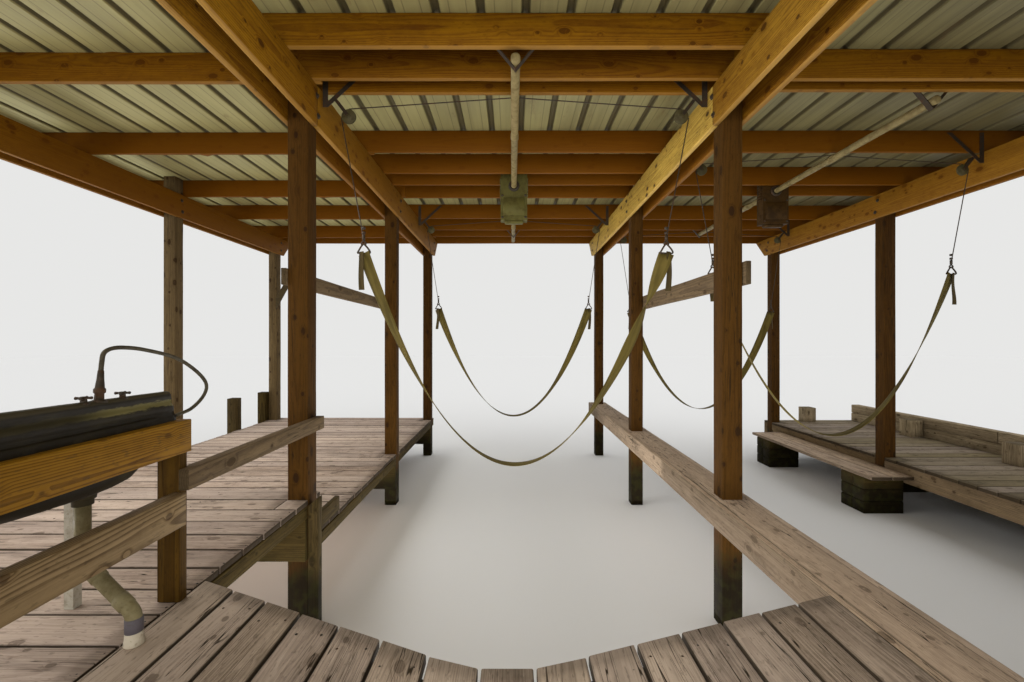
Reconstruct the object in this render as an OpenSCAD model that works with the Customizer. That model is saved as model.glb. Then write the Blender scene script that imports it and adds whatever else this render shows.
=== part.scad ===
/* [Bays] */
// Distance between the rows of posts along the length of the boathouse
bay_depth = 2400; // [2000:50:3000]
// Number of bays along the length
bay_count = 4; // [4:1:6]
// Width of the boat slip, between the middles of its two rows of posts
slip_w = 3010; // [2600:10:3600]
// Width of the decked bay at the left, between rows of posts
left_bay_w = 2697; // [2200:1:3200]
// Width of the second slip, beside the shore, between rows of posts
shore_bay_w = 3083; // [2600:1:3600]

/* [Levels above the water] */
// Top of the rear deck, the left deck and the walkway
deck_z = 900; // [750:5:1100]
// Step down from the left deck to the lower deck
lower_step = 280; // [150:5:400]
// Step down from the rear deck to the shore deck
shore_step = 320; // [150:5:450]
// Step down from the shore deck to the boarding step
boarding_drop = 120; // [80:5:200]
// Underside of the girders
girder_z = 3520; // [3000:10:4000]

/* [Timber] */
// Width of a square post
post_w = 140; // [120:1:200]
// Thickness of every plank, board and joist
plank_t = 38; // [32:1:45]
// Height of a girder plank
girder_h = 286; // [235:1:320]
// Height of a roof joist
joist_h = 205; // [180:1:240]
// Length of a joist past the middle of the girder where two joists lap
joist_lap = 150; // [120:5:250]
// Height of a deck joist
deck_joist_h = 89; // [80:1:140]
// Distance between deck joists
deck_joist_pitch = 560; // [400:10:700]
// Height of a cross beam that carries the deck joists between two posts
deck_beam_h = 286; // [235:1:320]
// Height of the fascia board along the shore deck
shore_fascia_h = 184; // [140:1:200]
// Clear gap between the two halves of a girder plank that meet on a post
butt_gap = 4; // [2:1:10]

/* [Roof] */
// How far the roof runs past the middle of the outer posts, front and rear
end_overhang = 430; // [300:10:700]
// How far the roof runs past the middle of the outer posts at the sides
side_overhang = 450; // [350:10:700]
// Distance between the ribs of the metal sheets
rib_pitch = 275; // [200:1:350]
// Width of a rib at its foot
rib_foot_w = 62; // [40:1:80]
// Width of a rib at its crown
rib_crown_w = 26; // [16:1:32]
// Height of a rib
rib_h = 30; // [20:1:40]
// Thickness of the sheet with its folds
sheet_t = 3; // [2:0.5:4]

/* [Decks] */
// How far the rear deck runs back past the rear posts
rear_edge = 200; // [150:10:600]
// Distance of the bow notch's deepest point from the rear posts
notch_tip_y = 3110; // [2700:10:3300]
// Shift of the bow notch's deepest point from the middle of the slip
notch_shift = -65; // [-150:5:150]
// Angle of the notch's left side to the deck boards' ends
notch_left_angle = 24; // [15:1:30]
// Angle of the notch's right side
notch_right_angle = 19; // [15:1:30]
// Radius of the rounded tip of the notch
notch_r = 600; // [300:10:900]
// Width of the walkway between the two slips, over its two edge beams
walkway_w = 295; // [260:1:340]
// Height of the beam along each edge of the walkway
walkway_beam_h = 170; // [140:1:200]
// How far the decks run past the last posts towards the lake
lake_edge = 170; // [130:10:250]
// Width of the shore deck behind the last row of posts
shore_deck_w = 1560; // [1200:10:2000]
// Distance of the shore deck's rear end from the rear posts
shore_deck_y = 3030; // [2700:10:3400]
// Width of one of the two planks of the boarding step
boarding_plank_w = 235; // [184:1:286]

/* [Guards and ties] */
// Height of the tie board between two left slip posts
left_tie_h = 115; // [89:1:140]
// Height of the tie board between two right slip posts
right_tie_h = 160; // [140:1:184]
// Underside of both tie boards above the water
tie_z = 2388; // [2200:10:2600]
// Width of the short guard post across the walk
guard_post_w = 95; // [80:1:110]
// Depth of the short guard post
guard_post_t = 45; // [38:1:95]
// Height of the two guard boards
guard_board_h = 135; // [100:1:150]
// Top of the upper guard board above the deck
guard_top = 770; // [600:10:1000]
// Height of the hand rail
rail_h = 89; // [64:1:100]
// Underside of the hand rail above the deck
rail_z = 472; // [400:1:520]
// Distance between the face of the slip post behind and the middle of the guard post
guard_post_gap = 1043; // [1030:1:1500]

/* [Wash sink] */
// Length of the wash sink behind the guard boards
sink_len = 960; // [700:10:1010]
// Width of the wash sink
sink_w = 440; // [360:10:500]
// Height of the sink's rim above the water
sink_z = 1700; // [1650:5:1750]
// Depth of the sink's bowl
sink_d = 300; // [200:10:320]

/* [Boat hoists] */
// Outer diameter of the long winding shafts
shaft_d = 60; // [48:1:76]
// Depth of a winding shaft's middle below the joists
shaft_drop = 61; // [50:1:76]
// Width of a drive housing
drive_w = 300; // [220:5:340]
// Length of a drive housing along the shaft
drive_l = 130; // [100:5:180]
// Height of a drive housing
drive_h = 550; // [400:5:600]
// Depth of a drive housing's top below the roof
drive_drop = 95; // [40:5:150]
// Half the angle between the two legs of a shaft hanger
hanger_angle = 40; // [30:1:50]
// Thickness of the flat bar of a hanger
bar_t = 6; // [5:1:8]
// Distance of a side pulley's middle from the face of its girder
pulley_out = 182; // [150:1:220]
// Depth of a side pulley's middle below the joists
pulley_drop = 166; // [140:1:206]
// Diameter of a side pulley
pulley_d = 104; // [90:1:120]
// Width of a side pulley
pulley_t = 22; // [16:1:24]
// Diameter of a lifting cable
cable_d = 8; // [6:1:10]
// Distance of a sling's ends from the face of the girder
sling_out = 290; // [250:5:350]
// Width of a webbing sling
sling_w = 110; // [75:1:150]
// Thickness of a webbing sling
sling_t = 6; // [4:1:10]
// Height above the water of the ends of the slings nearer to the rear deck
near_sling_top = 2640; // [2400:10:2800]
// Height above the water of the lowest point of the slings nearer to the rear deck
near_sling_low = 1096; // [950:1:1300]
// Height above the water of the ends of the slings nearer to the lake
far_sling_top = 2470; // [2300:10:2800]
// Height above the water of the lowest point of the slings nearer to the lake
far_sling_low = 896; // [750:1:1300]

/* [Hidden] */

// Middles of the four rows of posts across the boathouse
slip_left_x = -slip_w / 2;
slip_right_x = slip_w / 2;
left_x = slip_left_x - left_bay_w;
shore_x = slip_right_x + shore_bay_w;
half_post = post_w / 2;

function row_y(i) = i * bay_depth;
last_row_y = row_y(bay_count);
rows = [for (i = [0 : bay_count]) i];
// Row of posts where the decks step down
step_row = 2;

girder_top = girder_z + girder_h;
roof_z = girder_top + joist_h;
roof_x0 = left_x - side_overhang;
roof_x1 = shore_x + side_overhang;
roof_y0 = -end_overhang;
roof_y1 = last_row_y + end_overhang;

lower_z = deck_z - lower_step;
shore_z = deck_z - shore_step;
boarding_z = shore_z - boarding_drop;
deck_y0 = -rear_edge;
deck_y1 = last_row_y + lake_edge;
left_edge_x = left_x - half_post;
left_slip_face = slip_left_x + half_post;
shore_slip_face = shore_x - half_post;
step_past_post = 60;
step_y = row_y(step_row) + half_post + step_past_post;
walk_x0 = slip_right_x - walkway_w / 2;
walk_x1 = slip_right_x + walkway_w / 2;
curb_x0 = shore_slip_face + shore_deck_w;
curb_x1 = curb_x0 + post_w;

// The origin is at the middle of the whole, at the level of the water
mid_x = (roof_x0 + curb_x1) / 2;
mid_y = (roof_y0 + roof_y1) / 2;

module placed() translate([-mid_x, -mid_y, 0]) children();

// A box given by its two corners
module block(a, b) translate(a) cube(b - a);
// A round rod between two points
module rod(a, b, d) {
    v = b - a;
    translate(a) rotate([0, acos(v[2] / norm(v)), atan2(v[1], v[0])]) cylinder(h = norm(v), d = d, $fn = 24);
}

timber = "peru";
old_timber = "rosybrown";
dark_timber = "saddlebrown";
metal = "darkolivegreen";

// Joists, each as the row of posts behind it and its distance from that row as a share of the bay,
// in post widths and in plank thicknesses; the last puts it beside the slip joist of the same line
left_joist_lines = [
    [0, 0, -1.2, 1], [0, 0.4383, 0, 1], [1, 0, -0.914, 1], [1, 0.455, 0, 1], [2, 0, -0.643, 1],
    [2, 0.4692, 0, 1], [3, 0, 0.5, 0], [3, 0.4483, 0, 1], [4, 0, -0.571, 0]];
slip_joist_lines = [
    [0, 0, -1.2, 0], [0, 0.4383, 0, 0], [1, 0, -0.914, 0], [1, 0.455, 0, 0], [2, 0, -0.643, 0],
    [2, 0, 0.643, 0], [2, 0.4692, 0, 0], [2, 0.8483, 0, 0], [3, 0, 0.5, 1], [3, 0.7363, 0, 0],
    [4, 0, -1.257, 0]];
long_joist_lines = [[1, 0.8196, 0, 0], [2, 0.695, 0, 0], [3, 0.4483, 0, 0]];
shore_joist_lines = [
    [0, 0, -1.2, 0], [0, 0.4383, 0, 0], [1, 0, -0.914, 0], [1, 0.455, 0, 0], [2, 0, -0.643, 0],
    [2, 0, 0.643, -1], [2, 0.4692, 0, 0], [2, 0.8483, 0, 0], [3, 0, 0.143, 0], [3, 0.4708, 0, 0],
    [3, 0.7363, 0, 0], [4, 0, -1.257, 0]];

function joist_y(line) = row_y(line[0]) + line[1] * bay_depth + line[2] * post_w + line[3] * plank_t;

module post(x, y, top) block([x - half_post, y - half_post, 0], [x + half_post, y + half_post, top]);

module post_row(x) color(dark_timber) placed() for (i = rows) post(x, row_y(i), girder_top);

// The left outer row; the post beside the longest span reaches up to the roof
tall_row = 3;
module left_posts() color(dark_timber) placed() for (i = rows)
    post(left_x, row_y(i), i == tall_row ? roof_z : girder_top);
module slip_left_posts() post_row(slip_left_x);
module slip_right_posts() post_row(slip_right_x);
module shore_posts() post_row(shore_x);

// One girder plank along the boathouse, its lake end cut back at 45 degrees below
module girder_plank(x, y0, y1) translate([x, 0, 0]) rotate([90, 0, 90]) linear_extrude(plank_t)
    polygon([[y0, girder_z], [y1 - girder_h, girder_z], [y1, girder_top], [y0, girder_top]]);
module plain_plank(x, y0, y1) block([x, y0, girder_z], [x + plank_t, y1, girder_top]);

// Two planks that hold the posts between them; the one on the slip's side is in two lengths
module girder(x, split_side) {
    split_y = row_y(step_row);
    for (side = [-1, 1]) {
        plank_x = side < 0 ? x - half_post - plank_t : x + half_post;
        if (side == split_side) {
            plain_plank(plank_x, roof_y0 + plank_t, split_y - butt_gap / 2);
            girder_plank(plank_x, split_y + butt_gap / 2, roof_y1 - plank_t);
        } else {
            girder_plank(plank_x, roof_y0 + plank_t, roof_y1 - plank_t);
        }
    }
}
module left_girder() color(timber) placed() girder(left_x, -1);
module slip_left_girder() color(timber) placed() girder(slip_left_x, 1);
module slip_right_girder() color(timber) placed() girder(slip_right_x, -1);
module shore_girder() color(timber) placed() girder(shore_x, 1);

module joists(lines, x0, x1) color(timber) placed() for (line = lines)
    block([x0, joist_y(line), girder_top], [x1, joist_y(line) + plank_t, roof_z]);
module left_joists() joists(left_joist_lines, roof_x0 + plank_t, slip_left_x + joist_lap);
module slip_joists() {
    joists(slip_joist_lines, slip_left_x - joist_lap, slip_right_x);
    joists(long_joist_lines, slip_left_x - joist_lap, slip_right_x + joist_lap);
}
module shore_joists() joists(shore_joist_lines, slip_right_x, roof_x1 - plank_t);

// Fascia boards close the joists' ends and the roof's edges
module lake_fascia() color(dark_timber) placed()
    block([roof_x0 + plank_t, roof_y1 - plank_t, girder_top], [roof_x1 - plank_t, roof_y1, roof_z]);
module rear_fascia() color(dark_timber) placed()
    block([roof_x0 + plank_t, roof_y0, girder_top], [roof_x1 - plank_t, roof_y0 + plank_t, roof_z]);
module side_fascias() color(dark_timber) placed() {
    block([roof_x0, roof_y0, girder_top], [roof_x0 + plank_t, roof_y1, roof_z]);
    block([roof_x1 - plank_t, roof_y0, girder_top], [roof_x1, roof_y1, roof_z]);
}

// Ribbed sheet between two sides, with its ribs running along the boathouse
rib_x0 = 63;
first_rib = ceil((roof_x0 + rib_foot_w - rib_x0) / rib_pitch);
last_rib = floor((roof_x1 - rib_foot_w - rib_x0) / rib_pitch);
// A fold widens the outer face of a rib by this share of the sheet's thickness
fold_share = 0.4;
function rib_line(k, t) = let (x = rib_x0 + k * rib_pitch, d = t * fold_share) [
    [x - rib_foot_w / 2 - d, t], [x - rib_crown_w / 2 - d, rib_h + t],
    [x + rib_crown_w / 2 + d, rib_h + t], [x + rib_foot_w / 2 + d, t]];
function rib_points(k0, k1, t) = [for (k = [k0 : k1]) each rib_line(k, t)];
module roof_strip(x0, x1, k0, k1) color("beige") placed()
    translate([0, roof_y1, roof_z]) rotate([90, 0, 0]) linear_extrude(roof_y1 - roof_y0)
    polygon(concat([[x0, 0]], rib_points(k0, k1, 0), [[x1, 0], [x1, sheet_t]],
        [for (i = [4 * (k1 - k0 + 1) - 1 : -1 : 0]) rib_points(k0, k1, sheet_t)[i]], [[x0, sheet_t]]));
// The sheets meet half way between two ribs, over the girders
left_seam = round((slip_left_x - rib_x0) / rib_pitch);
shore_seam = round((slip_right_x - rib_x0) / rib_pitch);
function seam_x(k) = rib_x0 + (k + 0.5) * rib_pitch;
module left_roof_sheets() roof_strip(roof_x0, seam_x(left_seam), first_rib, left_seam);
module slip_roof_sheets() roof_strip(seam_x(left_seam), seam_x(shore_seam), left_seam + 1, shore_seam);
module shore_roof_sheets() roof_strip(seam_x(shore_seam), roof_x1, shore_seam + 1, last_rib);

// Cuts run past the faces that they pass through
cut_over = 10;
post_cut_h = 500;
// Cuts for the posts in a deck
module post_cuts(x, z) for (i = rows)
    block([x - half_post, row_y(i) - half_post, z - post_cut_h],
        [x + half_post, row_y(i) + half_post, z + cut_over]);

// The bow notch in plan: two straight sides and a rounded tip
notch_x = notch_shift;
notch_half = (180 - notch_left_angle - notch_right_angle) / 2;
notch_axis = (180 - notch_left_angle + notch_right_angle) / 2;
notch_reach = notch_r / sin(notch_half);
notch_tangent = notch_r / tan(notch_half);
// The sides would cross this far behind the rounded tip
notch_corner_y = notch_tip_y - (notch_reach - notch_r);
notch_end_y = notch_tip_y + slip_w;
module bow_notch() {
    run = slip_w;
    translate([notch_x + notch_reach * cos(notch_axis), notch_corner_y + notch_reach * sin(notch_axis)])
        circle(notch_r, $fn = 96);
    translate([notch_x, notch_corner_y]) polygon([
        [notch_tangent * cos(notch_right_angle), notch_tangent * sin(notch_right_angle)],
        [run, run * tan(notch_right_angle)],
        [run, notch_end_y],
        [-run, notch_end_y],
        [-run, run * tan(notch_left_angle)],
        [-notch_tangent * cos(notch_left_angle), notch_tangent * sin(notch_left_angle)]]);
}
module deck_plan(x0, x1, y0, y1) translate([x0, y0]) square([x1 - x0, y1 - y0]);

module rear_deck() color(old_timber) placed() translate([0, 0, deck_z - plank_t]) linear_extrude(plank_t)
    difference() {
        deck_plan(left_slip_face, walk_x0, deck_y0, notch_tip_y + slip_w / 2);
        bow_notch();
    }
module left_deck() color(old_timber) placed() difference() {
    block([left_edge_x, deck_y0, deck_z - plank_t], [left_slip_face, step_y, deck_z]);
    post_cuts(left_x, deck_z);
    post_cuts(slip_left_x, deck_z);
}
module lower_deck() color(old_timber) placed() difference() {
    block([left_edge_x, step_y, lower_z - plank_t], [left_slip_face, deck_y1, lower_z]);
    post_cuts(left_x, lower_z);
    post_cuts(slip_left_x, lower_z);
}
module shore_rear_deck() color(old_timber) placed() difference() {
    block([walk_x1, deck_y0, deck_z - plank_t], [curb_x0, shore_deck_y, deck_z]);
    post_cuts(shore_x, deck_z);
}
module shore_deck() color(old_timber) placed() difference() {
    block([shore_slip_face, shore_deck_y, shore_z - plank_t], [curb_x0, deck_y1, shore_z]);
    post_cuts(shore_x, shore_z);
}

// Deck joists along the boathouse, side by side between two edges
module long_joists(x0, x1, y0, y1, z) {
    count = floor((x1 - x0 - plank_t) / deck_joist_pitch);
    step = (x1 - x0 - plank_t) / count;
    for (i = [0 : count]) block([x0 + i * step, y0, z - plank_t - deck_joist_h],
        [x0 + i * step + plank_t, y1, z - plank_t]);
}
// Beam across the boathouse, under the joists and against the posts' rear faces
module cross_beam(x0, x1, y, z) block([x0, y - plank_t, z - plank_t - deck_joist_h - deck_beam_h],
    [x1, y, z - plank_t - deck_joist_h]);
module deck_beams() color(dark_timber) placed() {
    for (i = [0 : step_row]) cross_beam(left_edge_x, left_slip_face, row_y(i) - half_post, deck_z);
    for (i = [step_row + 1 : bay_count])
        cross_beam(left_edge_x, left_slip_face, row_y(i) - half_post, lower_z);
    for (i = [0, 1]) cross_beam(walk_x1, curb_x0, row_y(i) - half_post, deck_z);
    for (i = [step_row : bay_count]) cross_beam(shore_slip_face, curb_x0, row_y(i) - half_post, shore_z);
}
module left_deck_joists() color(dark_timber) placed() difference() {
    long_joists(left_edge_x, left_slip_face, deck_y0, step_y, deck_z);
    post_cuts(left_x, deck_z);
    post_cuts(slip_left_x, deck_z);
}
module lower_deck_joists() color(dark_timber) placed() difference() {
    long_joists(left_edge_x, left_slip_face, step_y, deck_y1, lower_z);
    post_cuts(left_x, lower_z);
    post_cuts(slip_left_x, lower_z);
}
module shore_rear_joists() color(dark_timber) placed() difference() {
    long_joists(walk_x1, curb_x0, deck_y0, shore_deck_y, deck_z);
    post_cuts(shore_x, deck_z);
}
module shore_deck_joists() color(dark_timber) placed() difference() {
    long_joists(shore_slip_face + plank_t, curb_x0, shore_deck_y + plank_t, deck_y1, shore_z);
    post_cuts(shore_x, shore_z);
}
// Joists across the rear deck, hung between the left deck and the walkway
rear_joist_h = 140;
notch_trim_gap = 90;
notch_trim_start = 120;
last_joist_back = 250;
rear_joist_spaces = 5;
module notch_trimmer(angle) translate([notch_x, notch_corner_y - notch_trim_gap]) rotate(angle)
    translate([notch_trim_start, -plank_t / 2]) square([slip_w, plank_t]);
module rear_deck_joists() color(dark_timber) placed()
    translate([0, 0, deck_z - plank_t - rear_joist_h]) linear_extrude(rear_joist_h) {
        last = notch_tip_y - last_joist_back;
        space = (last - deck_y0) / rear_joist_spaces;
        for (i = [0 : rear_joist_spaces])
            deck_plan(left_slip_face, walk_x0, deck_y0 + i * space, deck_y0 + i * space + plank_t);
        intersection() {
            deck_plan(left_slip_face, walk_x0, last + 2 * plank_t, notch_end_y);
            union() {
                notch_trimmer(180 - notch_left_angle);
                notch_trimmer(notch_right_angle);
            }
        }
    }
// Board on the lower deck's edge, from the step
step_board_len = 380;
step_board_h = 115;
module deck_step_board() color(timber) placed()
    block([left_slip_face - plank_t, step_y, lower_z],
        [left_slip_face, step_y + step_board_len, lower_z + step_board_h]);
module shore_deck_fascia() color(old_timber) placed() difference() {
    block([shore_slip_face, shore_deck_y, shore_z - plank_t - shore_fascia_h],
        [shore_slip_face + plank_t, deck_y1, shore_z - plank_t]);
    post_cuts(shore_x, shore_z);
    deck_beams_cut();
}
// Room for the cross beams' ends behind the fascia
module deck_beams_cut() for (i = [step_row : bay_count])
    block([shore_slip_face - cut_over, row_y(i) - half_post - plank_t, 0],
        [shore_slip_face + plank_t + cut_over, row_y(i) - half_post, shore_z - plank_t - deck_joist_h]);

module walkway_plank() color(old_timber) placed() difference() {
    block([walk_x0 + plank_t, deck_y0, deck_z - plank_t], [walk_x1 - plank_t, deck_y1, deck_z]);
    post_cuts(slip_right_x, deck_z);
}
module walkway_beams() color(old_timber) placed() for (x = [walk_x0, walk_x1 - plank_t])
    block([x, deck_y0, deck_z - walkway_beam_h], [x + plank_t, deck_y1, deck_z]);

// Blocks between the two walkway beams hold them to the posts
module walkway_blocks() color(dark_timber) placed() for (i = rows)
    block([walk_x0 + plank_t, row_y(i) - half_post - plank_t, deck_z - walkway_beam_h],
        [walk_x1 - plank_t, row_y(i) - half_post, deck_z - plank_t]);

boarding_gap = 6;
boarding_x1 = shore_slip_face;
boarding_back = 480;
boarding_front = 320;
boarding_y0 = row_y(step_row + 1) - boarding_back;
boarding_y1 = last_row_y - boarding_front;
module boarding_step() color(old_timber) placed() for (i = [0, 1])
    block([boarding_x1 - (i + 1) * boarding_plank_w - i * boarding_gap, boarding_y0, boarding_z - plank_t],
        [boarding_x1 - i * (boarding_plank_w + boarding_gap), boarding_y1, boarding_z]);
crib_inset = 130;
crib_len = 370;
module step_crib() color(dark_timber) placed()
    for (y = [boarding_y0 + crib_inset, boarding_y1 - crib_inset - crib_len])
        block([boarding_x1 - 2 * boarding_plank_w, y, 0], [boarding_x1, y + crib_len, boarding_z - plank_t]);

module shore_curb() color(dark_timber) placed()
    block([curb_x0, deck_y0, 0], [curb_x1, deck_y1, shore_z + 2 * post_w]);

// Mooring piles stand at the outer edge of the lower deck
mooring_rise = 490;
mooring_backs = [1010, 170];
module mooring_piles() color(dark_timber) placed() for (back = mooring_backs)
    block([left_edge_x - post_w, last_row_y - back, 0],
        [left_edge_x, last_row_y - back + post_w, lower_z + mooring_rise]);
// A pile doubles the slip post at the deck's step
corner_pile_w = 70;
corner_pile_rise = 15;
module corner_pile() color(dark_timber) placed()
    translate([left_slip_face, row_y(step_row) - half_post, 0])
    cube([corner_pile_w, corner_pile_w, deck_z + corner_pile_rise]);

// Cut-off piles stand on the shore deck
stub_w = 190;
stub_h = 245;
// Each as its distance from the curb and the row of posts before which it stands, with the distance
stub_places = [[378, 3, -490], [213, 3, 1110], [958, 4, -40]];
module curb_stubs() color(dark_timber) placed() for (place = stub_places) {
    stub_x = curb_x0 - place[0];
    stub_y = row_y(place[1]) + place[2];
    block([stub_x, stub_y, shore_z], [stub_x + stub_w, stub_y + stub_w, shore_z + stub_h]);
}

// How far the tie boards run past their posts
left_tie_past = 20;
right_tie_past = 40;
far_tie_past = 10;
module left_tie_board() color(timber) placed()
    block([slip_left_x - half_post - plank_t, row_y(step_row) - half_post - left_tie_past, tie_z],
        [slip_left_x - half_post, row_y(step_row + 1) + half_post + far_tie_past, tie_z + left_tie_h]);
module right_tie_board() color(timber) placed()
    block([slip_right_x + half_post, row_y(step_row) - half_post - right_tie_past, tie_z],
        [slip_right_x + half_post + plank_t, row_y(step_row + 1) + half_post + far_tie_past,
            tie_z + right_tie_h]);

// Diagonal brace from the last left post up to the girders' level
brace_w = 89;
brace_z = 2560;
brace_reach = 590;
brace_top_w = 100;
module knee_brace() color(timber) placed() translate([left_x + half_post, last_row_y - half_post, 0])
    rotate([90, 0, 0]) linear_extrude(plank_t) polygon([[0, brace_z], [0, brace_z + 2 * brace_w],
        [brace_reach, girder_top], [brace_reach + brace_top_w, girder_top]]);

// A short post and boards guard the left side of the rear deck, as far as the next slip post
guard_set = 18;
guard_x0 = left_slip_face - guard_post_w + guard_set;
guard_face = guard_x0 + guard_post_w;
guard_y = row_y(step_row - 1) + half_post + guard_post_gap;
guard_y1 = guard_y + guard_post_t / 2;
guard_y0 = row_y(step_row - 1) - half_post;
guard_post_top = 710;
lower_guard_top = 470;
module guard_post() color(timber) placed()
    block([guard_x0, guard_y - guard_post_t / 2, deck_z], [guard_face, guard_y1, deck_z + guard_post_top]);
module guard_boards() color("goldenrod") placed() for (top = [guard_top, lower_guard_top]) {
    block([guard_face, guard_y0, deck_z + top - guard_board_h],
        [guard_face + plank_t, guard_y1, deck_z + top]);
    block([left_slip_face, guard_y0, deck_z + top - guard_board_h],
        [guard_face + plank_t / 2, guard_y0 + post_w, deck_z + top]);
}
// The rail's far end has a packing block against the slip post
module hand_rail() color(timber) placed() {
    block([guard_face, guard_y - guard_post_t / 2, deck_z + rail_z],
        [guard_face + plank_t, row_y(step_row) + half_post, deck_z + rail_z + rail_h]);
    block([left_slip_face, row_y(step_row) - half_post, deck_z + rail_z],
        [guard_face + plank_t / 2, row_y(step_row) + half_post, deck_z + rail_z + rail_h]);
}

// Wash sink behind the upper guard board, its high back towards the slip
sink_post_gap = 4;
sink_y1 = guard_y - guard_post_t / 2 - sink_post_gap;
sink_y0 = sink_y1 - sink_len;
sink_x1 = guard_face;
sink_x0 = sink_x1 - sink_w;
sink_wall = 12;
sink_rim_h = 40;
sink_back_h = 90;
sink_back_t = 30;
sink_back_drop = 120;
// The bowl narrows from its rim to its foot; the rim and the foot stand in from the outer sides
bowl_side = 45;
bowl_end = 20;
foot_side = 60;
foot_back = 90;
foot_end = 80;
module bowl_form(wall, top_z) hull() {
    block([sink_x0 + bowl_side + wall, sink_y0 + bowl_end + wall, sink_z - sink_rim_h],
        [sink_x1 - bowl_side - wall, sink_y1 - bowl_end - wall, top_z]);
    block([sink_x0 + foot_side + wall, sink_y0 + foot_end + wall, sink_z - sink_d + wall],
        [sink_x1 - foot_back - wall, sink_y1 - foot_end - wall, sink_z - 2 * sink_rim_h]);
}
module sink_bowl() color("dimgray") placed() difference() {
    union() {
        block([sink_x0, sink_y0, sink_z - sink_rim_h], [sink_x1, sink_y1, sink_z]);
        block([sink_x1 - sink_back_t, sink_y0, sink_z - sink_back_drop],
            [sink_x1, sink_y1, sink_z + sink_back_h]);
        bowl_form(0, sink_z - sink_rim_h / 2);
    }
    bowl_form(sink_wall, sink_z + cut_over);
}
sink_leg_w = 38;
leg_inset = 5;
module sink_legs() color("silver") placed() for (y = [sink_y0 + leg_inset, sink_y1 - sink_leg_w - leg_inset])
    block([sink_x0, y, deck_z], [sink_x0 + sink_leg_w, y + sink_leg_w, sink_z - sink_rim_h]);
tap_back = 330;
tap_d = 22;
tap_h = 190;
valve_places = [-5, 95];
valve_h = 24;
valve_d = 20;
handle_len = 48;
handle_w = 10;
module sink_tap() color("dimgray") placed()
    translate([sink_x1 - sink_back_t / 2, sink_y1 - tap_back, sink_z + sink_back_h]) {
        cylinder(h = tap_h, d = tap_d, $fn = 24);
        for (y = valve_places) translate([0, y, 0]) {
            cylinder(h = valve_h, d = valve_d, $fn = 24);
            for (turn = [0, 90]) rotate(turn)
                translate([-handle_len / 2, -handle_w / 2, valve_h - handle_w])
                cube([handle_len, handle_w, handle_w]);
        }
    }
// The drain leaves the bowl, slants under the lower guard board and stands on the deck beside it
drain_d = 60;
drain_back = 194;
drain_bend_rise = 290;
drain_foot_out = 25;
drain_foot_back = 283;
drain_foot_rise = 165;
drain_x = (sink_x0 + sink_x1) / 2;
drain_y = sink_y1 - drain_back;
drain_bend_z = deck_z + drain_bend_rise;
drain_foot = [guard_face + drain_foot_out, guard_y - drain_foot_back, deck_z + drain_foot_rise];
module sink_drain() color("tan") placed() {
    drain_top = [drain_x, drain_y, sink_z - sink_d];
    bend = [drain_x, drain_y, drain_bend_z];
    rod(drain_top, bend, drain_d);
    rod(bend, drain_foot, drain_d);
    rod(drain_foot, [drain_foot[0], drain_foot[1], deck_z], drain_d);
    for (place = [bend, drain_foot]) translate(place) sphere(d = drain_d, $fn = 32);
}

// Boat hoists: a winding shaft along the middle of each slip, its drive, hangers, pulleys, cables
slip_hoist_x = (slip_left_x + slip_right_x) / 2;
shaft_z = girder_top - shaft_drop;
pulley_z = girder_top - pulley_drop;
shore_hoist_x = (slip_right_x + shore_x) / 2;
slip_half = slip_w / 2 - half_post - plank_t;
shore_half = shore_bay_w / 2 - half_post - plank_t;
// Joists that carry the hoists
front_hanger_y = joist_y([1, 0.8196, 0, 1]);
back_hanger_y = joist_y([3, 0.7363, 0, 1]);
shore_front_y = joist_y([2, 0, 0.643, 0]);
slip_drive_y = joist_y([2, 0.8483, 0, 0]) - drive_l;
shore_drive_y = joist_y([2, 0.8483, 0, 1]);
slip_near_y = joist_y([2, 0, 0.643, 0.5]);
slip_far_y = joist_y([3, 0.4483, 0, 0.5]);
shore_near_y = joist_y([2, 0.4692, 0, 0.5]);
shore_far_y = joist_y([3, 0.7363, 0, 0.5]);
clearance = 0.3;
hanger_w = 40;
shaft_r = shaft_d / 2;
fork_w = 24;
axle_d = 16;
shaft_nose = 30;
slip_shaft_tail = 520;
shore_shaft_tail = 60;
hanger_drop = 45;
pulley_play = 1;
cable_play = 4;

module shaft(x, y0, y1) translate([x, y1, shaft_z]) rotate([90, 0, 0])
    cylinder(h = y1 - y0, d = shaft_d, $fn = 32);
module hoist_shafts() color("tan") placed() {
    shaft(slip_hoist_x, front_hanger_y - shaft_nose, back_hanger_y + slip_shaft_tail);
    shaft(shore_hoist_x, shore_front_y - shaft_nose, back_hanger_y + shore_shaft_tail);
}
module drive(x, y) difference() {
    block([x - drive_w / 2, y, roof_z - drive_drop - drive_h],
        [x + drive_w / 2, y + drive_l, roof_z - drive_drop]);
    translate([x, y - cut_over, shaft_z]) rotate([-90, 0, 0])
        cylinder(h = drive_l + 2 * cut_over, r = shaft_r + clearance, $fn = 32);
}
module hoist_drives() color(metal) placed() {
    drive(slip_hoist_x, slip_drive_y);
    drive(shore_hoist_x, shore_drive_y);
}

// A hanger is a flat bar bent to a V, in which the shaft lies
module shaft_hanger(x, y) {
    inner_z = shaft_z - (shaft_r + clearance) / sin(hanger_angle);
    top_z = roof_z - hanger_drop;
    half_w = (top_z - inner_z) * tan(hanger_angle);
    side = bar_t / cos(hanger_angle);
    translate([x, y + hanger_w, 0]) rotate([90, 0, 0]) linear_extrude(hanger_w) polygon([
        [-half_w, top_z], [0, inner_z], [half_w, top_z], [half_w + side, top_z],
        [0, inner_z - bar_t / sin(hanger_angle)], [-half_w - side, top_z]]);
}
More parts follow.
